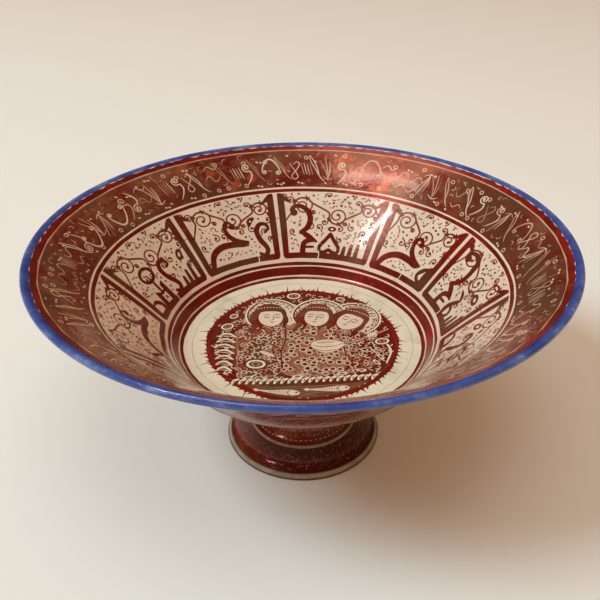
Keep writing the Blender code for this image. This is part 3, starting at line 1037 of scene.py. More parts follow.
pool = [(-44.0, -41.0), (-20.0, -42.5), (4.0, -42.0), (26.0, -40.5), (46.0, -37.0), (50.0, -31.0),
        (54.0, -26.0)]
picture += [(pool + [plan(math.radians(116 + 5.6 * step), 58.6) for step in range(21)], *BROWN)]
for line in range(9):
    drop = -43.5 - 1.8 * line
    half = math.sqrt(max(57.0 ** 2 - drop ** 2, 0.0)) - picture_hand.uniform(1, 6)
    if half > 4:
        picture += stroke([(-half, drop - 1.0, 0.35), (-half / 2, drop + 0.5, 0.45), (0, drop - 0.4, 0.4),
                           (half / 2, drop + 0.8, 0.45), (half, drop + 1.6, 0.35)], SCRATCH, 0.0, 4.0, False)
picture += fish(-29.5, -50.8, 28.0, -3.0) + fish(0.5, -50.6, 27.5, 1.4)

picture += stroke([(-41.5, 12.0, 3.4), (-42.6, 0.0, 4.6), (-43.0, -12.0, 5.0), (-40.6, -24.0, 4.4),
                   (-38.0, -33.0, 3.0)], *BROWN)
for leaf in range(7):
    y, reach = 6.5 - 6.2 * leaf, 12.0 - 0.95 * abs(leaf - 2)
    picture += stroke([(-43.5, y - 1.2, 1.0), (-44.5 - reach * 0.4, y + 1.2, 4.1),
                       (-44.5 - reach * 0.8, y + 0.4, 2.6), (-44.5 - reach, y - 1.6, 0.7)], *PALE, 2.2)
    picture += stroke([(-45.5, y - 0.5, 0.3), (-44.5 - reach * 0.45, y + 0.7, 1.9),
                       (-44.5 - reach * 0.86, y - 0.4, 0.5)], *BROWN, 2.2, False)

HEADS = ((33.0, 24.5, -0.62, -0.8), (-21.5, 30.0, 0.04, 0.9), (10.0, 30.0, -0.14, -0.9))
for x, y, lean, _ in HEADS:
    picture += halo(x, y, lean)
picture += coat((LUSTRE, 0.3), False, (-43.0, 10.0), (-35.0, 19.0), (-26.0, 22.6), (-14.0, 22.0),
                (-7.0, 15.0), (-9.0, 4.0), (-13.0, -10.0), (-11.0, -26.0), (-16.0, -35.0), (-30.0, -38.0),
                (-39.0, -33.0), (-41.0, -16.0))
picture += bud(-29.0, -24.5, 6.2)
picture += coat((LUSTRE, 0.45), False, (19.0, 17.0), (27.0, 16.6), (38.0, 10.5), (47.0, 3.0), (51.5, -6.0),
                (50.0, -18.0), (42.0, -28.0), (30.0, -34.0), (22.0, -32.0), (20.0, -10.0))
picture += coat((SCRATCH, 0.0), True, (-12.0, 15.0), (-5.0, 21.0), (7.0, 23.0), (18.0, 20.0), (24.0, 11.0),
                (26.0, 2.0), (28.0, -14.0), (24.0, -30.0), (10.0, -36.0), (-10.0, -35.0), (-13.0, -22.0),
                (-12.0, -4.0))
picture += stroke([(-26.0, -11.0, 2.4), (-22.5, -13.2, 3.6), (-18.0, -16.0, 1.2)], CREAM, 0.8)
picture += stroke([(-11.5, 14.0, 1.2), (-11.0, 2.0, 1.0), (-13.5, -12.0, 1.0), (-12.5, -28.0, 1.2)], *MAROON)
picture += stroke([(20.5, 12.0, 1.0), (25.5, 0.0, 1.0), (27.5, -16.0, 1.0)], *MAROON)
for place in HEADS:
    picture += head(*place)
picture += lute()
for place in ((-50.0, 17.0, 4.6, 0.6), (-46.5, 29.5, 3.4, 0.8), (-6.0, 55.4, 5.0, 0.1),
              (27.0, 50.5, 3.4, -0.4), (51.5, -1.0, 4.8, 0.2), (41.0, 42.0, 3.0, -0.8),
              (-30.0, 48.5, 3.0, 0.5)):
    picture += bud(*place)
picture += stroke([(54.5, -5.0, 1.5), (56.0, -13.0, 1.3), (52.0, -25.0, 1.0)], *PALE)
for x, y, lean in ((-46.0, -33.0, 0.9), (-33.0, -38.5, 0.3), (-3.0, -37.0, 0.1), (24.0, -34.5, 0.1),
                   (36.0, -31.5, -0.2), (46.0, -24.0, -0.9), (49.0, -18.0, -1.1)):
    picture += dab(x, y, 3.4, *PALE, 10, 0.42, lean) + dab(x, y, 1.9, *MAROON, 8, 0.4, lean)
picture += [([(-42.0, -43.0), (-20.0, -47.2), (2.0, -46.4), (24.0, -45.0), (46.0, -41.4), (44.5, -36.0),
              (24.0, -37.4), (2.0, -38.6), (-20.0, -40.2), (-41.0, -39.5)], *MAROON)]
for link in range(21):
    share = link / 20
    x, y = -40.5 + 84.0 * share, -42.6 + 4.0 * share - 7.0 * share * (1 - share) * (0.6 - share)
    picture += stroke([(x - 1.6, y - 2.3, 1.5), (x - 0.5, y + 0.6, 2.3), (x + 1.7, y + 2.1, 1.7)], *PALE, 1.6)
    picture += stroke([(x - 0.9, y - 1.2, 0.5), (x - 0.1, y + 0.8, 0.8)], *MAROON, 1.6, False)


def paint_disc(radii, sectors, marks, ground):
    """Paints the round middle of the floor in wedge-shaped tiles; its chart is a plan in millimetres."""
    marks = with_box(marks)

    def spot(step, count, radius):
        return plan((step / count - 0.5) * FULL_TURN, radius)

    def to_clay(chart):
        return np.arctan2(chart[:, 0], chart[:, 1]), np.hypot(chart[:, 0], chart[:, 1])

    centre = [spot(step, sectors, radii[0]) for step in range(sectors)][::-1]
    paint_tile(centre, [(0.0, 0.0)], marks, ground, to_clay)
    for low, high in zip(radii, radii[1:]):
        fine = COLUMNS // sectors if high == radii[-1] else 1
        between = evenly(low, high, 4.6)[1:-1]
        for sector in range(sectors):
            outer = [spot(sector * fine + step, sectors * fine, high) for step in range(fine + 1)]
            rim = ([spot(sector, sectors, radius) for radius in [low] + between] + outer
                   + [spot(sector + 1, sectors, radius) for radius in between[::-1] + [low]])
            inner = [spot(sector + 0.5, sectors, radius) for radius in between]
            paint_tile(rim[::-1], inner, marks, ground, to_clay)


paint_disc([15.0, 28.0, 42.0, 56.0, FLOOR_PAINTED], 42, picture, PLAIN)
rows = evenly(FLOOR_PAINTED, 76.7, 3.0) + evenly(77.3, 81.2, 0.65) + evenly(83.5, BAND_LOW, 4.0)
marks = rings(CORNER_GIRTH, (70.7, 71.3, CREAM, 0.2, 2, 0.1), (76.5, 92.0, CREAM, 0.6, 6, 0.0),
              (76.3, 78.8, LUSTRE, 0.75, 1, 0.25), (79.9, 86.15, LUSTRE, 0.75, 3, 0.25),
              (87.3, 89.75, LUSTRE, 0.75, 5, 0.25))
paint_band(rows, 8, TILES, CORNER_GIRTH, marks, PLAIN)
paint_band(evenly(BAND_LOW, BAND_HIGH, 4.0), 5, TILES, BAND_GIRTH, band_marks, (CREAM, 0.6))

# Rim lines and the cobalt edge of the lip: a pale scratched line, a red one and the blue over it,
# all a little unsteady, so that short dashes of the white glaze show between red and blue.
RIM_LINE, RIM_RED, COBALT_LOW, CREST, COBALT_HIGH = 179.9, 180.95, 184.7, 189.0, 194.8
EDGE_STEPS = 378
marks = (rings(SCRIPT_GIRTH, (144.7, 147.4, LUSTRE, 0.8, 9, 0.25),
               (SCRIPT_LOW, SCRIPT_HIGH, LUSTRE, 0.3, 11, 0.25), (RIM_LINE, RIM_RED, SCRATCH, 0.3, 12, 0.15))
         + [([(-lap / 2, RIM_RED), (lap / 2, RIM_RED), (lap / 2, CREST), (-lap / 2, CREST)], LUSTRE, 0.8)]
         + script_marks)
edge_sway = swaying(15, 0.4, lap, (7, 16, 29, 47, 71))
gap_sway = swaying(16, 1.5, lap, (59, 83, 107, 131))


def hump(place, middle, width):
    """A rise that is 1 at its middle and fades to both sides."""
    return math.exp(-((place - middle) / width) ** 2)


edge = []
for step in range(EDGE_STEPS + 1):
    x = (step / EDGE_STEPS - 0.5) * lap
    gap = min(0.15 + gap_sway(x) + 0.5 * hump(x / lap, 0.13, 0.05), 0.8) - 1.4 * hump(abs(x) / lap, 0.5, 0.16)
    edge.append((x, COBALT_LOW + edge_sway(x) + 1.5 * hump(abs(x) / lap, 0.5, 0.12), gap))
for (x0, low0, gap0), (x1, low1, gap1) in zip(edge, edge[1:]):
    if max(gap0, gap1) > 0.12:
        marks += [([(x0, low0 - max(gap0, 0.0)), (x1, low1 - max(gap1, 0.0)), (x1, low1 + 0.4),
                    (x0, low0 + 0.4)], CREAM, 0.7)]
marks += [([(x0, low0), (x1, low1), (x1, CREST), (x0, CREST)], COBALT, 0.5)
          for (x0, low0, _), (x1, low1, _) in zip(edge, edge[1:])]
paint_band(evenly(BAND_HIGH, start_of["lip"], 4.0), 5, TILES, SCRIPT_GIRTH, marks, PLAIN)


def own_rows(first, last):
    """The rows of the outline itself from one run to another."""
    return list(along[(along >= first - SAME_SLOPE) & (along <= last + SAME_SLOPE)])


lip_rows = own_rows(start_of["lip"], start_of["outer wall"])
plain_band(lip_rows, COLUMNS, [(COBALT, 0.5)] * (len(lip_rows) - 1))

# Outside of the wall: brown lustre with a scrolling stem scratched through it, over a row of
# slanting leaves. Little of it shows from above, and it is plainer than the inside.
WALL_GIRTH = 125.0
BENDS, LEAVES, STEM_RUN = 22, 72, 236.5
wall_hand = random.Random(61)
lap = FULL_TURN * WALL_GIRTH
FAINT = (SCRATCH, 0.25)
marks = rings(WALL_GIRTH, (190, COBALT_HIGH, COBALT, 0.4, 17, 0.5), (197.0, 200.0, LUSTRE, 0.8, 19, 0.25),
              (202.5, 298.0, LUSTRE, 0.64, 21, 0.25), (206.0, 207.2, *FAINT, 23, 0.1),
              (266.0, 267.1, *FAINT, 25, 0.1), (270.0, 270.8, *FAINT, 27, 0.1),
              (295.7, 297.0, SCRATCH, 0.1, 29, 0.1))
for bend in range(BENDS):
    left, wide = (bend / BENDS - 0.5) * lap, lap / BENDS
    way = 1 if bend % 2 else -1
    middle = STEM_RUN + wall_hand.uniform(-1, 1)
    marks += stroke(leant(left, STEM_RUN, 0.0, (0, 0, 1.5), (wide * 0.25, way * 13, 1.8),
                          (wide * 0.5, way * 17, 1.6), (wide * 0.78, way * 12, 1.8), (wide, 0, 1.5)),
                    SCRATCH, 0.3, 3.0, False)
    marks += coil(left + wide * 0.5, middle + way * 4, 10.5, 1.6, way * QUARTER_TURN, -way, 1.5, SCRATCH, 0.3)
    marks += coil(left + wide * 0.98, middle + way * 19.0, 5.5, 1.3, wall_hand.uniform(0, 6), way, 1.2,
                  *FAINT)
    marks += stroke(leant(left, middle, 0.0, (wide * 0.2, -way * 9, 0.8), (wide * 0.4, -way * 18, 3.2),
                          (wide * 0.66, -way * 22, 0.8)), SCRATCH, 0.3, 2.5, False)
for leaf in range(LEAVES):
    x = (leaf / LEAVES - 0.5) * lap + wall_hand.uniform(-1.0, 1.0)
    marks += stroke([(x, 294.0, 0.5), (x - 3.5, 288.0, 1.0), (x - 8.5, 279.0, 0.9), (x - 15.5, 272.5, 0.4)],
                    SCRATCH, wall_hand.choice((0.0, 0.0, 0.15)), 4.0, False)
paint_band(evenly(start_of["outer wall"], start_of["bulge"], 4.0), 6, TILES, WALL_GIRTH, marks, PLAIN)
bulge_rows = own_rows(start_of["bulge"], start_of["underside"])
plain_band(bulge_rows, COLUMNS, [BOLD] * (len(bulge_rows) - 1))

# Underside and neck, in brown lustre: pale rings and a row of leaves above, and rows of short
# scratched touches down the neck. A row of dashes and a dark line of painted crease shadow close it
# above the cordon.
UNDERSIDE_GIRTH, NECK_GIRTH = 55.0, 30.0
marks = rings(UNDERSIDE_GIRTH, (298.0, 352.0, LUSTRE, 0.3, 31, 0.25), (304.0, 305.2, *FAINT, 33, 0.1),
              (326.0, 327.2, *FAINT, 35, 0.1), (355.0, 358.0, LUSTRE, 0.7, 37, 0.25),
              (361.0, 362.2, LUSTRE, 0.7, 39, 0.25))
for leaf in range(28):
    x = (leaf / 28 - 0.5) * FULL_TURN * UNDERSIDE_GIRTH
    marks += stroke([(x, 308.0, 0.6), (x + 3.0, 313.0, 2.2), (x + 2.0, 319.0, 1.8), (x - 2.5, 323.5, 0.6)],
                    SCRATCH, 0.3, 3.0, False)
rows = evenly(start_of["underside"], start_of["stem"], 3.0)
paint_band(rows, 8, 2 * STEM_TILES, UNDERSIDE_GIRTH, marks, PLAIN, (COLUMNS, STEM_COLUMNS, STEM_COLUMNS))


def touches(hand, lap, heights, count, slide, lift, bows, width, paint, loads):
    """Rows of short curved touches right round, each row half a step on from the last."""
    marks = []
    for row, y in enumerate(heights):
        for curl in range(count):
            x = (curl + 0.5 * (row % 2) + hand.uniform(-slide, slide)) / count * lap - lap / 2
            marks += touch(x, y + hand.uniform(-lift, lift), hand.uniform(*bows), hand.uniform(0, FULL_TURN),
                           hand.choice((-1, 1)), width, (paint, hand.choice(loads)))
    return marks


lap = FULL_TURN * NECK_GIRTH
marks = rings(NECK_GIRTH, (366.0, 398.0, LUSTRE, 0.35, 41, 0.25), (372.0, 372.8, *FAINT, 43, 0.05))
marks += touches(wall_hand, lap, (376.4, 379.0, 381.6, 384.2, 386.8, 389.4, 392.0), 72, 0.2, 0.4, (0.7, 1.15),
                 0.5, SCRATCH, (0.0, 0.0, 0.1))
for dash in range(62):
    x = (dash / 62 - 0.5) * lap
    marks += brushed([(x + 0.5, 394.9, 0.5), (x + 2.1, 395.0, 0.5)], SCRATCH, 0.3)
# Painted shadow: the dark line stands for the shade in the crease over the cordon.
marks += rings(NECK_GIRTH, (396.0, 398.0, LUSTRE, 0.6, 45, 0.05))
paint_band(evenly(start_of["stem"], start_of["cordon"], 2.0), 8, STEM_TILES, NECK_GIRTH, marks, PLAIN,
           (STEM_COLUMNS,) * 3)
cordon_rows = own_rows(start_of["cordon"], along[np.searchsorted(along, start_of["foot"]) - 1])
plain_band(cordon_rows, STEM_COLUMNS, [(LUSTRE, 0.5)] + [(WORN, 0.34)] * (len(cordon_rows) - 2))

# Slope of the foot, in dark lustre with short thin-red touches brushed round it, and its cream
# edge. The touches stand in for lettering and are no letters.
FOOT_GIRTH = 44.0
# The last, darkest row at the bottom of the foot is partly a dirty edge and partly painted contact shadow.
EDGE_PAINTS_AND_SHADOW = ((417.5, (LUSTRE, 0.6)), (418.2, (WORN, 0.25)), (420.5, (WORN, 0.42)), (math.inf, (WORN, 0.1)))
foot_hand = random.Random(71)
marks = rings(FOOT_GIRTH, (399.0, 420.0, LUSTRE, 0.55, 47, 0.1))
marks += touches(foot_hand, FULL_TURN * FOOT_GIRTH, (402.4, 405.2, 408.0, 410.8, 413.4), 64, 0.3, 0.7,
                 (0.9, 1.9), 0.55, THIN_LUSTRE, (0.3, 0.5, 0.7, 0.9))
paint_band(evenly(cordon_rows[-1], start_of["foot"], 2.5), 8, STEM_TILES, FOOT_GIRTH, marks, (WORN, 0.5),
           (STEM_COLUMNS,) * 3)
edge_rows = sorted(own_rows(start_of["foot"], along[-1]) + [418.1, 420.4])
plain_band(edge_rows, STEM_COLUMNS, [next(paint for limit, paint in EDGE_PAINTS_AND_SHADOW if high < limit)
                                     for high in edge_rows[1:]])

# Tin glaze, copper lustres, cobalt and worn body, one finish for each paint, in the order of the
# paints. The lustre is a film of copper and silver fired onto the glaze: olive brown where thin,
# ruby where strong, and scratched through to the cream for the fine lines.
finishes = []


def node(tree, kind, inputs=None, **settings):
    """One node of a finish, its settings made and its sockets filled or wired; gives its outputs."""
    made = tree.nodes.new("ShaderNode" + kind)
    for name, value in settings.items():
        setattr(made, name, value)
    for name, value in (inputs or {}).items():
        if isinstance(value, bpy.types.NodeSocket):
            tree.links.new(value, made.inputs[name])
        else:
            made.inputs[name].default_value = value
    return made.outputs


def tint(red, green, blue):
    """A colour given as on a colour card, 0 to 255, as the light it sends back."""
    return *[(c / 255 + 0.055) ** 2.4 / 1.055 ** 2.4 if c > 10 else c / 3295 for c in (red, green, blue)], 1.0


def shaded(tree, share, *stops):
    """Colours blended along a share from 0 to 1, each stop a place and a colour."""
    ramp = tree.nodes.new("ShaderNodeValToRGB")
    tree.links.new(share, ramp.inputs[0])
    places_of = ramp.color_ramp.elements
    for _ in stops[2:]:
        places_of.new(0.5)
    for element, (place, *colour) in zip(places_of, stops):
        element.position, element.color = place, tint(*colour)
    return ramp.outputs[0]


def mixed(tree, share, under, *over):
    """A colour laid over another, by a share."""
    return node(tree, "Mix", {0: share, 6: under, 7: tint(*over)}, data_type="RGBA", blend_type="MIX")[2]


def spread(tree, share, low, high, first=0.0, last=1.0):
    """A share between low and high, stretched from first to last."""
    return node(tree, "MapRange", {0: share, 1: low, 2: high, 3: first, 4: last})[0]


def noise(tree, where, scale, detail, roughness=0.5):
    """Soft clouds of 0 to 1."""
    return node(tree, "TexNoise", {"Vector": where, "Scale": scale, "Detail": detail,
                                   "Roughness": roughness})[0]


def reckoned(tree, way, *values, clamp=False):
    """A sum, a product or the like of values."""
    return node(tree, "Math", dict(enumerate(values)), operation=way, use_clamp=clamp)[0]


def streaked(tree, apart, run, across, scale, detail):
    """Noise drawn out along the turning of the wheel."""
    around = [reckoned(tree, "MULTIPLY", apart[axis], across) for axis in "XY"]
    laid = node(tree, "CombineXYZ", {0: around[0], 1: around[1], 2: run})[0]
    return noise(tree, laid, scale, detail)


def fired(name, roughness, metallic=0.0, coat=0.0, dents=0.06):
    """A glazed finish with the glaze's soft dents and pinholes, and what its colour needs."""
    finish = bpy.data.materials.new(name)
    finish.use_nodes = True
    tree = finish.node_tree
    glaze = tree.nodes["Principled BSDF"].inputs
    where = node(tree, "TexCoord")["Object"]
    broad, fine = noise(tree, where, 45, 3), noise(tree, where, 420, 2)
    apart = node(tree, "SeparateXYZ", {0: where})
    run = node(tree, "Attribute", attribute_name="run")["Fac"]
    grooves = streaked(tree, apart, run, 30.0, 0.4, 1)
    height = reckoned(tree, "MULTIPLY_ADD", fine, 0.22, broad)
    height = reckoned(tree, "MULTIPLY_ADD", grooves, 0.07, height)
    bump = node(tree, "Bump", {"Height": height, "Strength": dents, "Distance": 0.01})[0]
    tree.links.new(bump, glaze["Normal"])
    tree.links.new(spread(tree, noise(tree, where, 28, 6), 0.35, 0.7, roughness * 0.75, roughness * 1.35),
                   glaze["Roughness"])
    glaze["Metallic"].default_value = metallic
    glaze["Coat Weight"].default_value = coat
    glaze["Coat Roughness"].default_value = 0.05
    finishes.append(finish)
    return tree, glaze["Base Color"], where, node(tree, "Attribute", attribute_name="load")["Fac"]


tree, colour, where, load = fired("tin_glaze", 0.15, coat=0.3)
cream = shaded(tree, noise(tree, where, 16, 5, 0.6), (0.3, 205, 190, 166), (0.5, 222, 203, 178),
               (0.72, 228, 202, 180))
cream = mixed(tree, spread(tree, noise(tree, where, 75, 4, 0.7), 0.56, 0.74, 0.0, 0.5), cream, 176, 140, 108)
crackle = node(tree, "TexVoronoi", {"Vector": where, "Scale": 110}, feature="DISTANCE_TO_EDGE")[0]
cream = mixed(tree, spread(tree, crackle, 0.0, 0.03, 0.12, 0.0), cream, 120, 92, 68)
specks = node(tree, "TexVoronoi", {"Vector": where, "Scale": 260})[0]
cream = mixed(tree, spread(tree, specks, 0.06, 0.11, 0.55, 0.0), cream, 130, 92, 66)
cream = mixed(tree, spread(tree, load, 0.2, 0.5, 0.4, 0.0), cream, 112, 110, 96)
cream = mixed(tree, spread(tree, load, 0.52, 0.6, 0.0, 0.2), cream, 214, 148, 128)
tree.links.new(cream, colour)

tree, colour, where, load = fired("copper_lustre", 0.2, metallic=0.34, coat=0.27)
tree.nodes["Principled BSDF"].inputs["Specular IOR Level"].default_value = 0.36
apart = node(tree, "SeparateXYZ", {0: where})
along_wall = node(tree, "Attribute", attribute_name="run")["Fac"]
# Streaks along the turning of the wheel, with painted light laid over them: the film turns browner towards
# the left of the bowl and redder towards the right, the change that the light from the left gives the lustre.
side = reckoned(tree, "MULTIPLY_ADD", streaked(tree, apart, along_wall, 14.0, 0.9, 2), 0.5,
                spread(tree, apart["X"], -0.13, 0.13, -0.06, 0.08))
side = reckoned(tree, "ADD", side, -0.25)
uneven = reckoned(tree, "MULTIPLY_ADD", noise(tree, where, 34, 5, 0.62), 1.5, -0.8)
uneven = reckoned(tree, "MULTIPLY_ADD", noise(tree, where, 190, 3, 0.7), 0.4, uneven)
thick = reckoned(tree, "ADD", reckoned(tree, "ADD", uneven, side), -0.15)
thick = reckoned(tree, "ADD", thick, load, clamp=True)
film = shaded(tree, thick, (0.0, 142, 92, 62), (0.2, 138, 70, 48), (0.42, 120, 43, 29), (0.6, 112, 25, 16),
              (0.8, 124, 26, 17), (1.0, 148, 32, 20))
olive = reckoned(tree, "MULTIPLY", spread(tree, noise(tree, where, 27, 2), 0.48, 0.64, 0.0, 0.75),
                 spread(tree, load, 0.62, 0.68, 1.0, 0.0))
film = mixed(tree, olive, film, 104, 64, 40)
# Painted shade: the lustre of the foot is darkened except on its left, where the light from the left falls.
foot_painted_shade = reckoned(tree, "MULTIPLY", spread(tree, along_wall, 398.0, 402.0),
                     spread(tree, apart["X"], -0.045, -0.01, 0.0, 0.62))
film = mixed(tree, foot_painted_shade, film, 38, 8, 2)
# Painted reflection: orange flashes on the thin lustre of the far wall stand in for the lustre's coloured
# sheen there.
painted_sheen_flashes = reckoned(tree, "MULTIPLY", spread(tree, noise(tree, where, 75, 1), 0.58, 0.68, 0.0, 0.75),
                   spread(tree, apart["Y"], 0.06, 0.13))
painted_sheen_flashes = reckoned(tree, "MULTIPLY", painted_sheen_flashes, spread(tree, load, 0.3, 0.5, 1.0, 0.0))
film = mixed(tree, painted_sheen_flashes, film, 186, 88, 56)
film = mixed(tree, spread(tree, noise(tree, where, 300, 3, 0.75), 0.62, 0.74, 0.0, 0.45), film, 170, 128, 98)
tree.links.new(film, colour)

for name, roughness, metallic, scale, rough, share, stops in (
        ("thin_red_lustre", 0.24, 0.12, 90, 0.65, 0.6,
         ((0.0, 78, 40, 30), (0.25, 102, 40, 30), (0.5, 122, 44, 33), (0.75, 150, 62, 42),
          (1.0, 180, 90, 56))),
        ("scratched_line", 0.26, 0.0, 120, 0.7, 0.5,
         ((0.0, 146, 100, 78), (0.3, 184, 140, 116), (0.6, 208, 180, 152), (1.0, 220, 200, 174)))):
    tree, colour, where, load = fired(name, roughness, metallic)
    thick = reckoned(tree, "MULTIPLY_ADD", noise(tree, where, scale, 4, rough), share, load)
    thick = reckoned(tree, "ADD", thick, -share / 2, clamp=True)
    tree.links.new(shaded(tree, thick, *stops), colour)

tree, colour, where, load = fired("cobalt", 0.16, coat=0.3, dents=0.09)
thick = reckoned(tree, "MULTIPLY_ADD", noise(tree, where, 55, 5, 0.65), 1.5, load)
# Lighter along the crest of the lip: partly the glaze running thin there and partly a painted highlight.
crest = reckoned(tree, "ADD", node(tree, "Attribute", attribute_name="run")["Fac"], -189.8)
crest = spread(tree, reckoned(tree, "ABSOLUTE", crest), 0.5, 4.0, -0.9, -0.56)
# Painted shade: the cobalt is darker on the near side of the bowl and lighter on the far side.
near_side_painted_shade = spread(tree, node(tree, "SeparateXYZ", {0: where})["Y"], -0.15, 0.1, 0.2, -0.06)
thick = reckoned(tree, "ADD", reckoned(tree, "ADD", thick, near_side_painted_shade), crest, clamp=True)
tree.links.new(shaded(tree, thick, (0.0, 158, 162, 180), (0.25, 114, 127, 168), (0.5, 66, 82, 144),
                      (1.0, 30, 42, 110)), colour)

tree, colour, where, load = fired("worn_glaze_and_painted_shadow", 0.45, dents=0.12)
bare = shaded(tree, noise(tree, where, 50, 6, 0.68), (0.3, 136, 116, 94), (0.5, 172, 152, 128),
              (0.7, 194, 174, 150))
bare = mixed(tree, spread(tree, noise(tree, where, 170, 4, 0.7), 0.58, 0.7, 0.0, 0.7), bare, 120, 88, 66)
# Low loads darken the body: a duller cordon and foot edge, and at the very bottom of the foot a dark line
# that is partly dirt and partly painted contact shadow.
bare = mixed(tree, spread(tree, load, 0.1, 0.5, 0.85, 0.0), bare, 58, 40, 28)
tree.links.new(bare, colour)

# Fired pot: one closed body, its painted skin joined to the turned hollow of its foot.
# Neighbouring tiles are stitched wherever one has a corner that the other lacks.
HAIRBREADTH = 0.03 * MILLIMETRE
TOUCHING = 0.003 * MILLIMETRE

for thing in bpy.context.selected_objects:
    thing.select_set(False)
turns, runs = np.concatenate(clay_turns), np.concatenate(clay_runs)
mesh = bpy.data.meshes.new("footed_vessel")
mesh.from_pydata((places(turns, runs)[0] * MILLIMETRE).tolist(), [], clay_faces)
mesh.polygons.foreach_set("material_index", face_paints)
for finish in finishes:
    mesh.materials.append(finish)
mesh.attributes.new("run", "FLOAT", "POINT").data.foreach_set("value", runs)
mesh.attributes.new("load", "FLOAT", "FACE").data.foreach_set("value", face_loads)
vessel = bpy.data.objects.new("footed_vessel", mesh)
bpy.context.scene.collection.objects.link(vessel)

opening = outline[-1]
bpy.ops.mesh.primitive_circle_add(vertices=STEM_COLUMNS, radius=opening[0] * MILLIMETRE,
                                  location=(0, 0, opening[1] * MILLIMETRE))
hollow = bpy.context.object
bpy.ops.object.transform_apply(location=True)
bpy.ops.object.mode_set(mode="EDIT")
bpy.ops.mesh.select_all(action="SELECT")
for place in [(FOOT_RADIUS - FOOT_RING_WIDTH, 0.0)] + hollow_line + dome_line[1:-1]:
    bpy.ops.mesh.extrude_region_move(
        TRANSFORM_OT_translate={"value": (0, 0, (place[1] - opening[1]) * MILLIMETRE)})
    bpy.ops.transform.resize(value=(place[0] / opening[0], place[0] / opening[0], 1))
    opening = place
bpy.ops.mesh.merge(type="CENTER")
bpy.ops.mesh.select_all(action="SELECT")
bpy.ops.object.mode_set(mode="OBJECT")
hollow.data.materials.append(finishes[WORN])
hollow_runs = hollow.data.attributes.new("run", "FLOAT", "POINT").data
hollow_runs.foreach_set("value", [-1.0] * len(hollow_runs))
vessel.select_set(True)
bpy.context.view_layer.objects.active = vessel
bpy.ops.object.join()

body = bmesh.new()
body.from_mesh(mesh)
run_layer = body.verts.layers.float["run"]


def loose_sides_of(body):
    """The sides that belong to one face only, and their ends, in a fixed order."""
    sides = [side for side in body.edges if side.is_boundary]
    return sides, list(dict.fromkeys(point for side in sides for point in side.verts))


for _ in range(4):
    bmesh.ops.remove_doubles(body, verts=loose_sides_of(body)[1], dist=TOUCHING)
    loose_sides, loose_points = loose_sides_of(body)
    if not loose_sides:
        break
    spots = np.array([point.co for point in loose_points])
    slivers = {}
    for side in loose_sides:
        a, b = side.verts
        first, last = np.array(a.co), np.array(b.co)
        length = np.linalg.norm(last - first)
        share = (spots - first) @ (last - first) / length ** 2
        away = np.linalg.norm(spots - first - share[:, None] * (last - first), axis=1)
        on_it = np.flatnonzero((away < HAIRBREADTH) & (share * length > TOUCHING)
                               & ((1 - share) * length > TOUCHING))
        own = set(side.link_faces[0].verts)
        if any(loose_points[n] in own for n in on_it):
            slivers[side.link_faces[0]] = True
            continue
        done = 0.0
        for n in on_it[np.argsort(share[on_it])]:
            _, point = bmesh.utils.edge_split(side, a, (share[n] - done) / (1 - done))
            point.co = loose_points[n].co
            point[run_layer] = loose_points[n][run_layer]
            a, done = point, share[n]
    bmesh.ops.delete(body, geom=list(slivers), context="FACES")
bmesh.ops.triangulate(body, faces=[face for face in body.faces if len(face.verts) > 3])
body.to_mesh(mesh)
body.free()

count = len(mesh.vertices)
runs, spots, normals = np.zeros(count), np.zeros(3 * count), np.zeros(3 * count)
mesh.attributes["run"].data.foreach_get("value", runs)
mesh.vertices.foreach_get("co", spots)
mesh.vertex_normals.foreach_get("vector", normals)
spots, normals = spots.reshape(-1, 3), normals.reshape(-1, 3)
turns = np.arctan2(spots[:, 0], spots[:, 1])
normals = np.where(runs[:, None] >= 0, places(turns, runs)[1], normals)
normals /= np.linalg.norm(normals, axis=1)[:, None]

# Each paint is laid out flat on its own round chart, from inside and from outside, for a baked picture.
CHARTS = {(CREAM, 0): (0.0, 0.0, 0.375), (LUSTRE, 0): (0.375, 0.0, 0.375),
          (THIN_LUSTRE, 0): (0.0, 0.375, 0.375), (SCRATCH, 0): (0.375, 0.375, 0.375),
          (CREAM, 1): (0.75, 0.0, 0.25), (LUSTRE, 1): (0.75, 0.25, 0.25), (SCRATCH, 1): (0.75, 0.5, 0.25),
          (COBALT, 0): (0.0, 0.75, 0.25), (WORN, 1): (0.25, 0.75, 0.25)}
REACH = {(COBALT, 0): 199.0, (WORN, 1): FOOT_RADIUS + 27.0}
corner_points = np.zeros(3 * len(mesh.polygons), int)
mesh.loops.foreach_get("vertex_index", corner_points)
paints = np.zeros(len(mesh.polygons), int)
mesh.polygons.foreach_get("material_index", paints)
corner_runs = runs[corner_points]
face_runs = corner_runs.reshape(-1, 3).max(axis=1)
across = np.hypot(spots[:, 0], spots[:, 1])[corner_points] / MILLIMETRE
turning = turns[corner_points]
outward = np.where(corner_runs < 0, across * (FOOT_RADIUS - 0.5) / FOOT_RADIUS,
                   FOOT_RADIUS + along[-1] - corner_runs)
flat_map = np.zeros((len(corner_points), 2))
for (paint, outside), (left, low, size) in CHARTS.items():
    own_side = (paint == COBALT) | (((face_runs > CREST) | (face_runs < 0)) == outside)
    mine = np.repeat((paints == paint) & own_side, 3)
    away = outward if outside else corner_runs
    reach = REACH.get((paint, outside), FOOT_RADIUS + along[-1] - 186.0 if outside else 192.0)
    way = -1 if outside else 1
    flat_map[mine, 0] = left + size / 2 * (1 + (away * np.sin(turning) * way / reach)[mine])
    flat_map[mine, 1] = low + size / 2 * (1 + (away * np.cos(turning) / reach)[mine])
mesh.uv_layers.new(name="OFBake").data.foreach_set("uv", flat_map.ravel())
mesh.shade_smooth()
mesh.normals_split_custom_set_from_vertices(normals)

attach(vessel, "root")
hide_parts("footed_bowl")

# Studio: a pale floor, a warm even glow, a broad soft light from the left, a weaker one above and
# window-like strips, which give the long sheen on the far wall and the small lights on rim and foot.
GLOW = 0.6

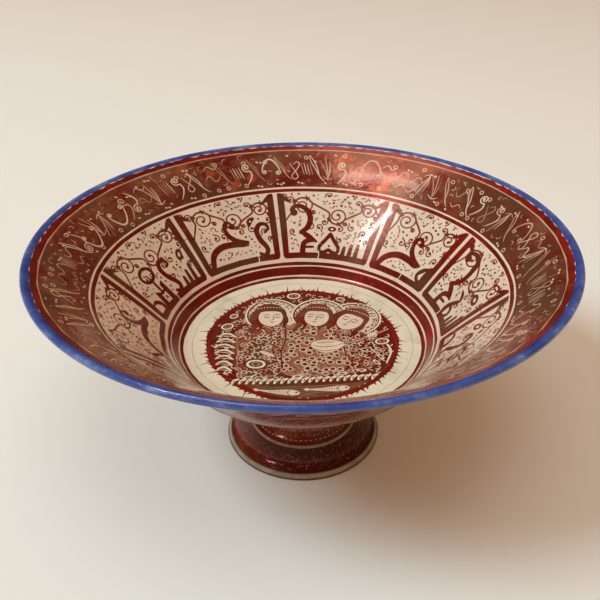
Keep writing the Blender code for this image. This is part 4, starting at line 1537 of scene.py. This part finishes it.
vessel.select_set(False)
bpy.ops.mesh.primitive_plane_add(size=9)
table = bpy.context.object
paper = bpy.data.materials.new("pale_paper")
paper.use_nodes = True
sheet = paper.node_tree.nodes["Principled BSDF"].inputs
sheet["Base Color"].default_value = (0.77, 0.725, 0.68, 1.0)
sheet["Roughness"].default_value = 0.9
sheet["Specular IOR Level"].default_value = 0.1
table.data.materials.append(paper)

world = bpy.data.worlds.new("studio")
bpy.context.scene.world = world
world.use_nodes = True
tree = world.node_tree
glossy = node(tree, "LightPath")["Is Glossy Ray"]
sky = tree.nodes["Background"].inputs
sky["Color"].default_value = (1.0, 0.64, 0.38, 1.0)
tree.links.new(spread(tree, glossy, 0.0, 1.0, GLOW, 0.15 * GLOW), sky["Strength"])

for name, place, aim, lie, across, long, watts, warmth, mirrored in (
        ("key", (-3.66, -1.15, 4.5), (0.0, 0.0, 0.05), (0, 0, 1), 1.9, 1.9, 285.0, (0.6, 0.85, 0.95), False),
        ("ceiling", (0.1, -0.7, 2.2), (0.05, -0.25, 0.0), (0, 1, 0), 1.1, 1.1, 12.5,
         (0.66, 0.84, 0.88), False),
        ("overhead", (-0.42, 0.33, 1.9), (0.05, 0.12, 0.13), (0, 0, 1), 1.05, 0.75, 6.5,
         (1.0, 0.8, 0.6), True),
        ("strip", (-0.729, -0.2, 1.34), (0.0546, 0.093, 0.109), (0.016, -0.363, -0.08), 0.05, 0.36, 3.5,
         (1.0, 1.0, 1.0), True),
        ("sheen", (-0.482, 0.028, 1.489), (0.058, 0.12, 0.133), (-0.411, 0.424, -0.154), 0.07, 0.6, 1.8,
         (1.0, 0.92, 0.88), True),
        ("glint", (-1.08, -0.92, 0.75), (-0.1, -0.13, 0.1), (0, 0, 1), 0.3, 0.1, 2.0, (1.0, 1.0, 1.0), True)):
    light = bpy.data.lights.new(name, "AREA")
    light.shape, light.size, light.size_y = "RECTANGLE", across, long
    light.energy, light.color = watts, warmth
    lamp = bpy.data.objects.new(name, light)
    bpy.context.scene.collection.objects.link(lamp)
    away = (Vector(place) - Vector(aim)).normalized()
    upright = (Vector(lie) - away * away.dot(Vector(lie))).normalized()
    lamp.rotation_euler = Matrix((upright.cross(away), upright, away)).transposed().to_euler()
    lamp.location = place
    lamp.visible_glossy, lamp.visible_diffuse = mirrored, not mirrored
bpy.context.scene.view_settings.view_transform = "Standard"
